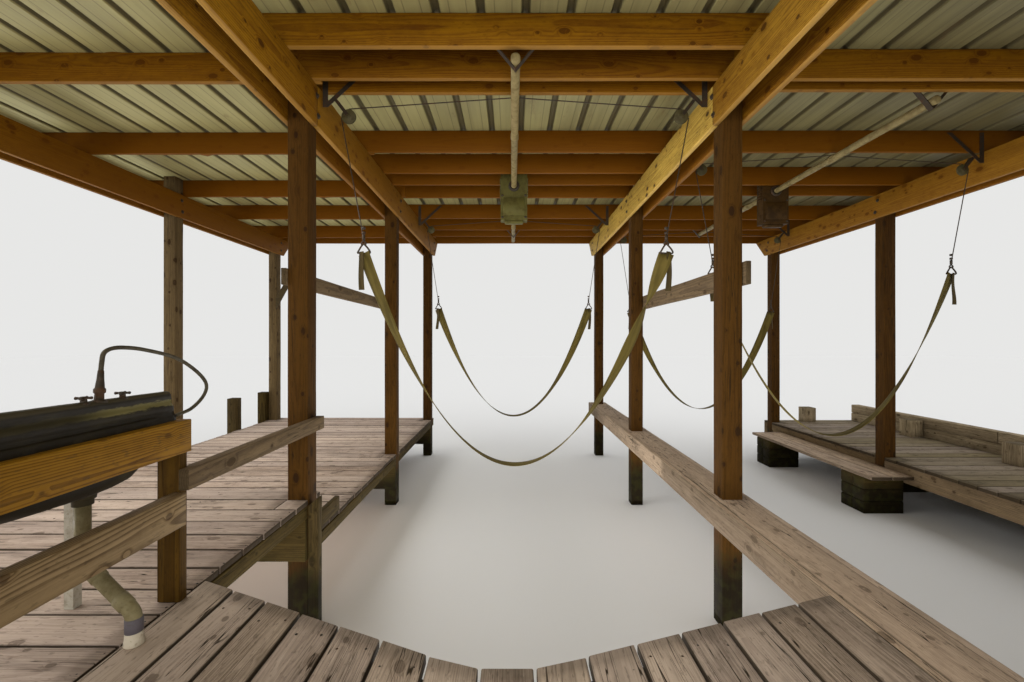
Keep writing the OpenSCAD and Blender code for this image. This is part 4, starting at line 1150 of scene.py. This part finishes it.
class BOATHOUSE_OT_hoists(bpy.types.Operator):
    """Builds the boat hoists' shafts, drives and pulleys, and gives their hangers and cables the steel finish"""

    bl_idname = "boathouse.hoists"
    bl_label = "Boat hoists"

    def execute(self, context):
        h = context.scene.boathouse_hoist
        self.shafts(paint_finish("shaft_paint", h.pipe, (0.10, 0.065, 0.024), 14.0))
        self.drives(drive_finish())
        self.pulleys(paint_finish("pulley_paint", h.wheel, (0.036, 0.026, 0.012), 20.0))
        for node in ("hoist_hangers", "hoist_cables"):
            recoat(node, steel_finish())
        return {"FINISHED"}

    def shafts(self, paint):
        """Turned pipes, their ends drawn in, with a wider coupling every 1.55 m."""
        cloth = Cloth()
        for low, high in cad_solids("hoist_shafts"):
            centre = ((low[0] + high[0]) / 2, low[1], (low[2] + high[2]) / 2)
            span, r = high[1] - low[1], (high[2] - low[2]) / 2
            rows = [(0.0, r * 0.7), (0.004, r)]
            for at in np.arange(FIRST_COUPLING, span - 0.2, COUPLING_STEP):
                rows += [(at, r), (at + 0.004, r * 1.16), (at + 0.075, r * 1.16), (at + 0.079, r)]
            rows += [(span - 0.004, r), (span, r * 0.7)]
            cloth.add(*turned(centre, (0.0, 1.0, 0.0), rows, FINE_ROUND))
        cloth.piece("hoist_shaft_pipes", paint, "shaft_paint", ("hoist_shafts",))

    def drives(self, paint):
        """The housings keep their CAD form, and covers, louvres and bolts are set on them."""
        trim, dark = Cloth(), Cloth()
        for low, high in cad_solids("hoist_drives"):
            add_drive_trim(trim, dark, low, high)
        trim.piece("hoist_drive_trim", paint, "drive_paint")
        dark.piece("hoist_drive_bolts", steel_finish(), "hoist_steel")
        recoat("hoist_drives", paint)

    def pulleys(self, paint):
        """Turned wheels: a hub, a thinner web and a rim with a groove."""
        cloth = Cloth()
        for low, high in cad_solids("hoist_pulleys"):
            r, half = (high[2] - low[2]) / 2, (high[1] - low[1]) / 2
            rows = mirrored(((half, 0.006), (half, 0.014), (0.013, 0.014), (0.013, r * 0.55), (0.011, r * 0.62),
                             (0.011, r - 0.002), (0.009, r), (0.003, r - 0.006)))
            cloth.add(*turned((low + high) / 2, (0.0, 1.0, 0.0), rows, FINE_ROUND))
        cloth.piece("hoist_pulley_wheels", paint, "hoist_steel", ("hoist_pulleys",))


def add_drive_trim(trim, dark, low, high):
    """What stands on a drive housing: on both faces a raised cover with rounded corners, a boss round the shaft
    and six bolts; on both sides seven louvres; and a foot below."""
    wide, tall = high[0] - low[0], high[2] - low[2]
    for face, out in ((low[1], -1.0), (high[1], 1.0)):
        inner, outer = sorted((face - 0.002 * out, face + 0.014 * out))
        trim.add(*rounded_block((low[0] + 0.03, inner, low[2] + 0.05), (high[0] - 0.03, outer, low[2] + tall * 0.45),
                                0.006))
        boss = ((low[0] + high[0]) / 2, face, high[2] - SHAFT_DEPTH)
        dark.add(*turned(boss, (0.0, out, 0.0), [(-0.003, 0.031), (-0.003, 0.062), (0.012, 0.062), (0.02, 0.055),
                                                 (0.02, 0.033), (0.004, 0.031)], FINE_ROUND))
        for x in (low[0] + 0.02, high[0] - 0.02):
            for z in (low[2] + 0.03, low[2] + tall * 0.5, high[2] - 0.03):
                add_bolt(dark, (x, face, z), (0.0, out, 0.0), 0.007)
    for side in (low[0], high[0]):
        for k in range(7):
            z = low[2] + tall * (0.52 + 0.055 * k)
            trim.add(*rounded_block((side - 0.010, low[1] + 0.015, z), (side + 0.010, high[1] - 0.015, z + 0.008),
                                    0.003))
    trim.add(*rounded_block((low[0] + wide * 0.15, low[1] + 0.02, low[2] - 0.03),
                            (high[0] - wide * 0.15, high[1] - 0.02, low[2] + 0.004), 0.012))


# Slings: each ends in a hook on its lifting cable

# How far the webbing is turned about its own length: places from -1 to 1 between the hooks, and degrees
SLING_TURNS = {
    "slip_near_sling": ((-1.0, -62), (-0.86, -48), (-0.55, -12), (0.0, 0), (0.4, -14), (0.66, -42), (0.80, -62),
                        (0.893, 0), (0.95, 55), (1.0, 72)),
    "slip_far_sling": ((-1.0, -75), (-0.7, -25), (-0.2, 0), (0.5, 10), (1.0, 70)),
    "shore_near_sling": ((-1.0, 70), (-0.8, 20), (0.0, 0), (0.6, -25), (1.0, -70)),
    "shore_far_sling": ((-1.0, -65), (-0.6, -10), (0.3, 0), (1.0, 60))}
# Thickness of the webbing and width of its loose ends, in metres
WEB_THICK, TAIL_WIDTH = 0.006, 0.042
# The colour property of each webbing, and the colour of its dirt
WEBBINGS = {"webbing": ("webbing", (0.050, 0.036, 0.007)), "webbing_tail": ("tail", (0.036, 0.026, 0.010))}


@functools.cache
def webbing_finish(name):
    """Webbing: ribs across and fine threads along, both sines of the place in the weave, with dirt."""
    key, worn = WEBBINGS[name]
    f = Finish(name)
    grain = f.attribute("grain")
    u, v, _ = f.parts(grain)
    weave = (u * 2200.0).sine() * (v * 1500.0).sine() * 0.5 + 0.5
    band = ((v.math("ABSOLUTE") - 0.038).math("ABSOLUTE")).step(0.006, 0.003)
    dirt = f.noise(grain, (3.0, 20.0, 1.0), 4.0).step(0.40, 0.68)
    shade = getattr(bpy.context.scene.boathouse_hoist, key)
    for amount in (dirt * 0.65, band * 0.3, weave * 0.25):
        shade = f.mix(amount, shade, worn)
    return f.finish(shade, 0.8, height=weave, bump=0.4, bump_size=0.001, gloss=0.1)


def flat_band(path, across, normal, width, run):
    """A flat band: a thin rounded section, width wide, carried along a path; returns the points, the faces and
    the place of each point in the weave."""
    share = np.linspace(-0.5, 0.5, 7)
    thick = np.array([0.25, 0.5, 0.5, 0.5, 0.5, 0.5, 0.25])
    around = np.concatenate([np.stack([share, -thick], -1), np.stack([share[::-1], thick[::-1]], -1)])
    rings = (path[:, None] + around[None, :, 0, None] * width * across[:, None]
             + around[None, :, 1, None] * WEB_THICK * normal[:, None])
    points, faces = closed_tube(rings[:, ::-1])
    along = np.append(np.repeat(run, len(around)), [run[0], run[-1]])
    wide = np.append(np.tile(around[::-1, 0] * width, len(path)), [0.0, 0.0])
    return points, faces, np.stack([along, wide, np.zeros(len(points))], -1)


def arc_length(path):
    """Distance along a path at each of its points."""
    return np.concatenate([[0.0], np.cumsum(np.linalg.norm(np.diff(path, axis=0), axis=1))])


class BOATHOUSE_OT_slings(bpy.types.Operator):
    """Hangs the webbing slings, with their links and loose tails"""

    bl_idname = "boathouse.slings"
    bl_label = "Slings"

    def execute(self, context):
        links = Cloth()
        for k, node in enumerate(SLING_TURNS):
            for end, side in zip(hang_sling(node, np.random.default_rng(SEEDS["slings"] + k)), (-1.0, 1.0)):
                add_hook(links, end, side)
        links.piece("sling_links", steel_finish(), "hoist_steel", ("sling_hooks",))
        return {"FINISHED"}


def hang_sling(node, rng):
    """A band of webbing between two hooks: its middle line is a parabola, and its flat section turns about it."""
    low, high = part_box(node)
    half = (high.x - low.x) / 2 - WEB_THICK / 2
    centre = np.array([(low.x + high.x) / 2, (low.y + high.y) / 2, 0.0])
    steps = np.linspace(-1, 1, 121)
    path = np.stack([centre[0] + half * steps, np.full_like(steps, centre[1]),
                     low.z + WEB_THICK / 2 + (high.z - low.z - WEB_THICK / 2) * steps ** 2], -1)
    step = np.gradient(path, axis=0)
    tangent = step / np.linalg.norm(step, axis=1, keepdims=True)
    normal = np.stack([-tangent[:, 2], np.zeros(len(steps)), tangent[:, 0]], -1)
    places, degrees = np.array(SLING_TURNS[node], float).T
    turn = np.radians(np.interp(steps, places, degrees))
    turn = np.convolve(np.pad(turn, 4, mode="edge"), np.full(9, 1 / 9), mode="valid")[:, None]
    flat = np.array([0.0, 1.0, 0.0])
    across = np.cos(turn) * flat + np.sin(turn) * normal
    face = -np.sin(turn) * flat + np.cos(turn) * normal
    width = high.y - low.y
    run = arc_length(path)
    points, faces, grain = flat_band(path, across, face, width, run)
    cloth = Cloth()
    cloth.add(points, faces, grain)
    piece = cloth.piece(node + "_webbing", webbing_finish("webbing"), "webbing", (node,))
    hang_tail(node + "_left_tail", path[0], -1.0, rng)
    hang_tail(node + "_right_tail", path[-1], 1.0, rng)
    return path[0], path[-1]


def add_hook(cloth, end, side):
    """A triangular link that holds the webbing, a hook bent round its top and the cable's clamped end above:
    round bars carried along a triangle and along a bent line."""
    x, y, z = end
    spread = 0.046
    corners = [(x - spread, y, z + 0.004), (x + spread, y, z + 0.004), (x + 0.010, y, z + 0.062),
               (x - 0.010, y, z + 0.062), (x - spread, y, z + 0.004)]
    link = smooth_path(corners, 41)
    cloth.add(*piped(link, 0.0065, (0.0, 1.0, 0.0), 8))
    angles = np.linspace(-0.35 * math.pi, 1.25 * math.pi, 15)
    bend = np.stack([x + 0.016 * np.cos(angles) * side, np.full(15, y), z + 0.072 + 0.016 * np.sin(angles)], -1)
    stem = np.array([(x, y, z + 0.094), (x, y, z + 0.115), (x, y, z + 0.135)])
    cloth.add(*piped(bend, 0.006, (0.0, side, 0.0), 8))
    cloth.add(*piped(stem, 0.011, (0.0, 1.0, 0.0)))
    for k in range(2):
        clamp = (x, y, z + 0.150 + 0.035 * k)
        cloth.add(*turned(clamp, (0.0, 0.0, 1.0), mirrored(((0.010, 0.008), (0.008, 0.013))), 10))


def hang_tail(name, end, side, rng):
    """The loose end of the webbing, straight down from the link: a narrow band with a slow wave."""
    drop = rng.uniform(0.27, 0.31)
    t = np.linspace(0.0, 1.0, 16)
    sway = rng.uniform(-0.010, 0.010)
    path = np.stack([end[0] + side * 0.012 + sway * np.sin(t * 4.0), end[1] - 0.012 + 0.008 * np.sin(t * 5.0),
                     end[2] + 0.012 - drop * t], -1)
    turn = math.radians(28.0) * side + 0.5 * t * rng.uniform(-1, 1)
    across = np.stack([np.cos(turn), np.sin(turn), np.zeros(16)], -1)
    face = np.stack([-np.sin(turn), np.cos(turn), np.zeros(16)], -1)
    run = arc_length(path)
    cloth = Cloth()
    cloth.add(*flat_band(path, across, face, TAIL_WIDTH, run))
    tail = cloth.piece(name, webbing_finish("webbing_tail"), "webbing")


# Wash sink

# Outer radius of the drain's couplings, in metres
DRAIN_RADIUS = 0.03
# The hose's way in metres, along the boathouse and upwards, and its radius
HOSE_WAY = ((-1.661, 1.875), (-1.656, 1.925), (-1.6476, 1.958), (-1.616, 1.9735), (-1.562, 1.976), (-1.472, 1.966),
            (-1.316, 1.931), (-1.196, 1.871), (-1.1234, 1.8065), (-1.137, 1.7528), (-1.2152, 1.7048),
            (-1.307, 1.688))
HOSE_RADIUS = 0.0075
# Where the tap's neck stands along the boathouse, in metres
NECK_Y = -1.667


def sink_finish():
    """Dark plastic, cloudy with dirt; a ragged pale green painted highlight lies along the upper roll of the back,
    stronger towards the lake, and a painted highlight makes the top edge lighter."""
    h = bpy.context.scene.boathouse_hoist
    low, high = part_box("sink_bowl")
    f = Finish("sink_plastic")
    place = f.place()
    _, y, z = f.parts(place)
    cloud = f.noise(f.stretched(place, (9.0, 5.0, 14.0)), 1.0, detail=5.0, roughness=0.65).step(0.45, 0.75)
    shade = f.mix(cloud * 0.5, h.sink, (0.052, 0.042, 0.016))
    # Painted highlight: a ragged pale green band along the upper roll of the back, stronger towards the lake
    ragged = f.noise(f.stretched(place, (1.0, 16.0, 60.0)), 1.0, detail=4.0, roughness=0.7) - 0.5
    line = z + ragged * 0.040
    band = line.step(high.z - 0.056, high.z - 0.048) * line.step(high.z - 0.026, high.z - 0.034)
    strong = y.step(low.y + 0.50 * (high.y - low.y), low.y + 0.72 * (high.y - low.y)) * 0.75 + 0.1
    shade = f.mix(band * strong, shade, h.sheen)
    # Painted highlight along the top edge
    shade = f.mix(z.step(high.z - 0.010, high.z - 0.001) * 0.45, shade, (0.11, 0.090, 0.050))
    return f.finish(shade, 0.55, height=cloud + ragged, bump=0.25, gloss=0.15)


class BOATHOUSE_OT_sink(bpy.types.Operator):
    """Builds the wash sink, its drain and its tap"""

    bl_idname = "boathouse.sink"
    bl_label = "Wash sink"

    def execute(self, context):
        h = context.scene.boathouse_hoist
        low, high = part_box("sink_bowl")
        cloth = Cloth()
        cloth.add(*self.back(low, high))
        cloth.add(*self.basin(low, high))
        cloth.piece("sink_basin", sink_finish(), "sink_plastic", ("sink_bowl",))
        recoat("sink_legs", paint_finish("leg_paint", (0.50, 0.46, 0.37), (0.18, 0.13, 0.07)))
        self.drain(paint_finish("pipe_plastic", h.drain, (0.095, 0.070, 0.025), 12.0))
        self.tap()
        return {"FINISHED"}

    def back(self, low, high):
        """The moulded back: a closed outline of two rolls and grooves between them, carried along the sink; its
        lake end slants, the near end stands a little higher, and the outline shrinks a little at both ends."""
        outline = np.array([(0.000, 0.0), (0.011, -0.004), (0.017, -0.014), (0.017, -0.024), (0.010, -0.034),
                            (0.006, -0.042), (0.012, -0.050), (0.0175, -0.060), (0.0175, -0.072), (0.012, -0.084),
                            (0.007, -0.092), (0.012, -0.104), (0.0165, -0.116), (0.0165, -0.150), (0.010, -0.205),
                            (-0.012, -0.205), (-0.013, -0.120), (-0.013, -0.060), (-0.014, -0.030),
                            (-0.011, -0.008)])
        u = np.linspace(0.0, 1.0, 44)
        shrink = 1.0 - 0.5 * np.exp(-u / 0.006) - 0.5 * np.exp(-(1.0 - u) / 0.006)
        wave = 0.0012 * np.sin(u * 37.0) + 0.0010 * np.sin(u * 83.0 + 1.0)
        middle = np.array([0.002, -0.08])
        flat = middle + (outline - middle) * np.stack([shrink, 0.6 + 0.4 * shrink], -1)[:, None]
        y = low.y + 0.002 + u[:, None] * (high.y - low.y - 0.004) - 0.33 * (flat[..., 1] + 0.12) * u[:, None] ** 30
        rings = np.stack([high.x - 0.0185 + flat[..., 0] + wave[:, None], np.minimum(y, high.y - 0.001),
                          high.z + 0.005 + 0.010 * (1.0 - u[:, None]) + flat[..., 1]], -1)
        return closed_tube(rings)

    def basin(self, low, high):
        """The bowl: rings from the drain up the outside, over the rim and down the inside; each ring is a rounded
        rectangle, |x/a|^n + |y/b|^n = 1, with a place and a middle of its own."""
        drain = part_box("sink_drain")
        to_x, to_y = drain[0].x + DRAIN_RADIUS, drain[1].y - DRAIN_RADIUS
        mid_x, mid_y = (low.x + high.x) / 2, (low.y + high.y) / 2
        rim = high.z - 0.09
        # Depth below the rim, half width, half length, power, share of the way to the drain
        rows = np.array([
            (0.264, 0.035, 0.045, 2.2, 1.0), (0.260, 0.075, 0.110, 2.2, 0.92), (0.251, 0.115, 0.210, 2.5, 0.66),
            (0.234, 0.150, 0.310, 2.8, 0.42), (0.200, 0.176, 0.385, 3.4, 0.20), (0.150, 0.192, 0.430, 4.0, 0.08),
            (0.085, 0.202, 0.450, 5.0, 0.0), (0.045, 0.207, 0.462, 6.0, 0.0), (0.038, 0.214, 0.473, 7.0, 0.0),
            (0.030, 0.219, 0.479, 8.0, 0.0), (0.006, 0.219, 0.479, 8.0, 0.0), (0.000, 0.214, 0.474, 8.0, 0.0),
            (0.000, 0.188, 0.448, 7.0, 0.0), (0.008, 0.180, 0.440, 6.0, 0.0), (0.085, 0.172, 0.425, 5.0, 0.0),
            (0.150, 0.164, 0.402, 4.0, 0.08), (0.190, 0.146, 0.355, 3.4, 0.20), (0.220, 0.118, 0.275, 2.8, 0.42),
            (0.238, 0.080, 0.160, 2.5, 0.70), (0.248, 0.035, 0.050, 2.2, 1.0)])
        angles = np.linspace(0, 2 * math.pi, 64, endpoint=False)
        c, d = np.cos(angles), np.sin(angles)
        reach = (np.abs(c) ** rows[:, 3:4] + np.abs(d) ** rows[:, 3:4]) ** (-1 / rows[:, 3:4])
        x = mid_x + rows[:, 4:5] * (to_x - mid_x) + rows[:, 1:2] * c * reach
        y = mid_y + rows[:, 4:5] * (to_y - mid_y) + rows[:, 2:3] * d * reach
        return closed_tube(np.stack([x, y, np.broadcast_to(rim - rows[:, :1], x.shape)], -1))

    def drain(self, pipe):
        """The drain pipe with its collar, couplings and foot, each a turned form on the pipe's line."""
        low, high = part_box("sink_drain")
        r = DRAIN_RADIUS
        # The bowl is drawn shallower than its plain CAD form, so the collar stands higher by as much
        top = np.array([low.x + r, high.y - r, high.z + 0.034])
        foot = np.array([high.x - r, low.y + r, 0.0])
        deck = low.z
        if abs(top[0] - foot[0]) < 0.2:
            raise ValueError("the drain's box isn't as the pipe needs it")
        bend = np.array([top[0], top[1], deck + 0.272])
        elbow = np.array([foot[0], foot[1], deck + 0.114])
        way = (elbow - bend) / np.linalg.norm(elbow - bend)
        path = smooth_path([bend + (0, 0, 0.09), bend + (0, 0, 0.025), bend + way * 0.025, (bend * 2 + elbow) / 3,
                            (bend + elbow * 2) / 3, elbow - way * 0.022, elbow - (0, 0, 0.022),
                            elbow - (0, 0, 0.060)], 44)
        side = np.cross(way, (0.0, 0.0, 1.0))
        cloth = Cloth()
        full = np.concatenate([[top], path, [(foot[0], foot[1], deck)]])
        cloth.add(*piped(full, np.where(full[:, 2] > bend[2], 0.84 * r, 0.86 * r), side, 20))
        for place, axis, rows in (
                (bend + (0, 0, 0.020), (0, 0, 1), ((0.035, 0.82), (0.033, 1.0))),
                (bend + way * 0.085, way, ((0.02, 0.82), (0.018, 0.95))),
                (elbow - way * 0.060, way, ((0.024, 0.82), (0.022, 0.95)))):
            cloth.add(*turned(place, axis, mirrored([(a, b * r) for a, b in rows]), 20))
        cloth.piece("sink_drain_pipe", pipe, "pipe_plastic", ("sink_drain",))
        # The turned pieces on the pipe: place, rows, points around, colour and colour of the stains
        for name, place, rows, around, shade, worn in (
                ("coupling", (foot[0], foot[1], deck + 0.073), mirrored(((0.026, 0.025), (0.024, 0.0285))), 20,
                 (0.115, 0.100, 0.110), (0.080, 0.060, 0.034)),
                ("foot", (foot[0], foot[1], deck),
                 ((0.0, 0.029), (0.004, 0.032), (0.018, 0.031), (0.022, 0.029), (0.046, 0.028), (0.050, 0.024)), 20,
                 (0.55, 0.48, 0.36), (0.16, 0.11, 0.06)),
                ("collar", top,
                 ((-0.052, 0.026), (-0.050, 0.033), (-0.030, 0.033), (-0.028, 0.040), (-0.004, 0.042),
                  (-0.002, 0.036), (0.020, 0.036)), 24,
                 (0.060, 0.050, 0.028), (0.025, 0.018, 0.008))):
            cloth = Cloth()
            cloth.add(*turned(place, (0, 0, 1), rows, around))
            cloth.piece("sink_drain_" + name, paint_finish(name + "_plastic", shade, worn), "pipe_plastic")

    def tap(self):
        """A tapered neck, two valves with cross handles, and a stiff hose that leaves the neck in one loop and
        comes back to the sink's end."""
        low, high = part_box("sink_tap")
        x = (low.x + high.x) / 2
        way = np.array(HOSE_WAY)
        path = smooth_path(np.stack([np.full(len(way), x), way[:, 0], way[:, 1]], -1), 72)
        cloth = Cloth()
        cloth.add(*piped(path, HOSE_RADIUS, (1.0, 0.0, 0.0)))
        rubber = paint_finish("hose_rubber", (0.075, 0.062, 0.036), (0.026, 0.020, 0.011), 20.0)
        hose = cloth.piece("sink_hose", rubber, "pipe_plastic")
        cloth = Cloth()
        base = np.array([x, NECK_Y, low.z])
        up = path[3] - base
        rows = [(0.0, 0.024), (0.006, 0.024), (0.010, 0.014), (0.030, 0.013), (0.034, 0.017), (0.046, 0.017),
                (0.050, 0.0135), (np.linalg.norm(up) - 0.03, 0.0105), (np.linalg.norm(up), 0.0085)]
        cloth.add(*turned(base, up, rows, 16))
        for off in (-0.055, 0.095):
            foot = base + (0.0, off, 0.0)
            cloth.add(*turned(foot, (0, 0, 1), [(0.0, 0.016), (0.004, 0.016), (0.007, 0.010), (0.018, 0.009),
                                                (0.020, 0.013), (0.025, 0.013), (0.027, 0.008)], 14))
            for turn in (0.4, 0.4 + math.pi / 2):
                arm = np.array([math.cos(turn), math.sin(turn), 0.0])
                cloth.add(*turned(foot + (0.0, 0.0, 0.022), arm,
                                  mirrored(((0.024, 0.003), (0.022, 0.0055), (0.012, 0.004))), 8))
        cloth.piece("sink_tap_neck", steel_finish(), "hoist_steel", ("sink_tap",))


# Stage

# Half the floor's width and how far it lies below the water line, in metres
FLOOR_HALF, FLOOR_DROP = 60.0, 0.002
# Width of the camera's film, in millimetres
FILM = 36.0
# Soft lamps: place and size in metres, turn and cone in degrees, power in watts
LAMPS = {
    "fill_below": ((-0.8, -1.5, 0.05), (180.0, 0.0, 0.0), (8.0, 8.0), 265.0, 180.0),
    "fill_rear": ((-0.8, -6.2, 2.4), (90.0, 0.0, 0.0), (4.0, 4.0), 65.0, 80.0),
    "left_deck": ((-4.1, 0.7, 3.25), (0.0, -10.0, 0.0), (1.4, 7.4), 54.0, 120.0),
    "slip": ((-1.9, -0.8, 3.15), (0.0, -48.0, 0.0), (0.9, 6.0), 30.0, 120.0),
    "fill_left": ((-7.4, 0.5, 0.05), (0.0, -140.0, 0.0), (3.0, 9.0), 150.0, 150.0),
    "left_side": ((-10.0, 0.3, 1.2), (0.0, -100.0, 0.0), (2.4, 10.0), 48.0, 40.0),
}


class BOATHOUSE_OT_stage(bpy.types.Operator):
    """Sets the floor, the lights and the camera"""

    bl_idname = "boathouse.stage"
    bl_label = "Stage"

    def execute(self, context):
        scene = context.scene
        s = scene.boathouse_stage
        a, z = FLOOR_HALF, -FLOOR_DROP
        mesh = bpy.data.meshes.new("floor")
        mesh.from_pydata([(-a, -a, z), (a, -a, z), (a, a, z), (-a, a, z)], [], [(0, 1, 2, 3)])
        mesh.materials.append(Finish("floor").finish(tuple(s.floor), 0.9))
        floor = bpy.data.objects.new("floor", mesh)
        scene.collection.objects.link(floor)
        data = bpy.data.cameras.new("camera")
        data.lens = s.lens
        data.sensor_width = FILM
        camera = bpy.data.objects.new("camera", data)
        camera.location = s.camera
        camera.rotation_euler = (math.pi / 2, 0.0, 0.0)
        scene.collection.objects.link(camera)
        scene.camera = camera
        self.sky(scene, s)
        for name, row in LAMPS.items():
            self.lamp(scene, name, *row)
        scene.view_settings.view_transform = "Standard"
        return {"FINISHED"}

    def sky(self, scene, s):
        """An even white light; what the camera, metal and glass see of it is as pale as the far floor."""
        world = bpy.data.worlds.new("world")
        scene.world = world
        world.use_nodes = True
        sky = Pattern(world.node_tree)
        rays = sky.node("ShaderNodeLightPath").outputs
        seen = [Wire(sky.tree, rays[key]) for key in ("Is Camera Ray", "Is Glossy Ray", "Is Transmission Ray")]
        shade = sky.mix((seen[0] + seen[1] + seen[2]).clamped(), (1.0, 1.0, 1.0), tuple(s.floor))
        background = sky.tree.nodes["Background"]
        sky.tree.links.new(shade.socket, background.inputs["Color"])
        background.inputs["Strength"].default_value = s.level

    def lamp(self, scene, name, place, turn, size, power, spread):
        """A soft lamp, flat and size wide, that the camera doesn't see and that shines into a cone of spread
        degrees."""
        data = bpy.data.lights.new(name, "AREA")
        data.shape = "RECTANGLE"
        data.size, data.size_y = size
        data.energy = power
        data.spread = math.radians(spread)
        lamp = bpy.data.objects.new(name, data)
        lamp.location = place
        lamp.rotation_euler = [math.radians(angle) for angle in turn]
        lamp.visible_camera = False
        scene.collection.objects.link(lamp)


class BOATHOUSE_PT_panel(bpy.types.Panel):
    """Lists the boathouse's sizes, colours and steps"""

    bl_idname = "BOATHOUSE_PT_panel"
    bl_label = "Boathouse"
    bl_space_type = "VIEW_3D"
    bl_region_type = "UI"
    bl_category = "Boathouse"

    def draw(self, context):
        for key in GROUPS:
            box = self.layout.box()
            group = getattr(context.scene, key)
            for name in group.__annotations__:
                box.prop(group, name)
        for step in STEPS:
            self.layout.operator(step.bl_idname)


GROUPS = {"boathouse_timber": TimberLooks, "boathouse_deck": DeckLooks, "boathouse_roof": RoofLooks,
          "boathouse_hoist": HoistLooks, "boathouse_stage": Stage}
STEPS = (BOATHOUSE_OT_stage, BOATHOUSE_OT_slings, BOATHOUSE_OT_posts, BOATHOUSE_OT_girders, BOATHOUSE_OT_joists,
         BOATHOUSE_OT_framing, BOATHOUSE_OT_guards, BOATHOUSE_OT_decks, BOATHOUSE_OT_roof, BOATHOUSE_OT_hoists,
         BOATHOUSE_OT_sink)


def register():
    """Registers the classes and hangs the groups on the scene."""
    for cls in (*GROUPS.values(), *STEPS, BOATHOUSE_PT_panel):
        bpy.utils.register_class(cls)
    for key, cls in GROUPS.items():
        setattr(bpy.types.Scene, key, PointerProperty(type=cls))


def unregister():
    """Takes back what register did."""
    for key in GROUPS:
        delattr(bpy.types.Scene, key)
    for cls in (BOATHOUSE_PT_panel, *reversed(STEPS), *reversed(list(GROUPS.values()))):
        bpy.utils.unregister_class(cls)


def main():
    """Builds everything in order."""
    register()
    for step in STEPS:
        group, name = step.bl_idname.split(".")
        getattr(getattr(bpy.ops, group), name)()


if __name__ == "__main__":
    main()
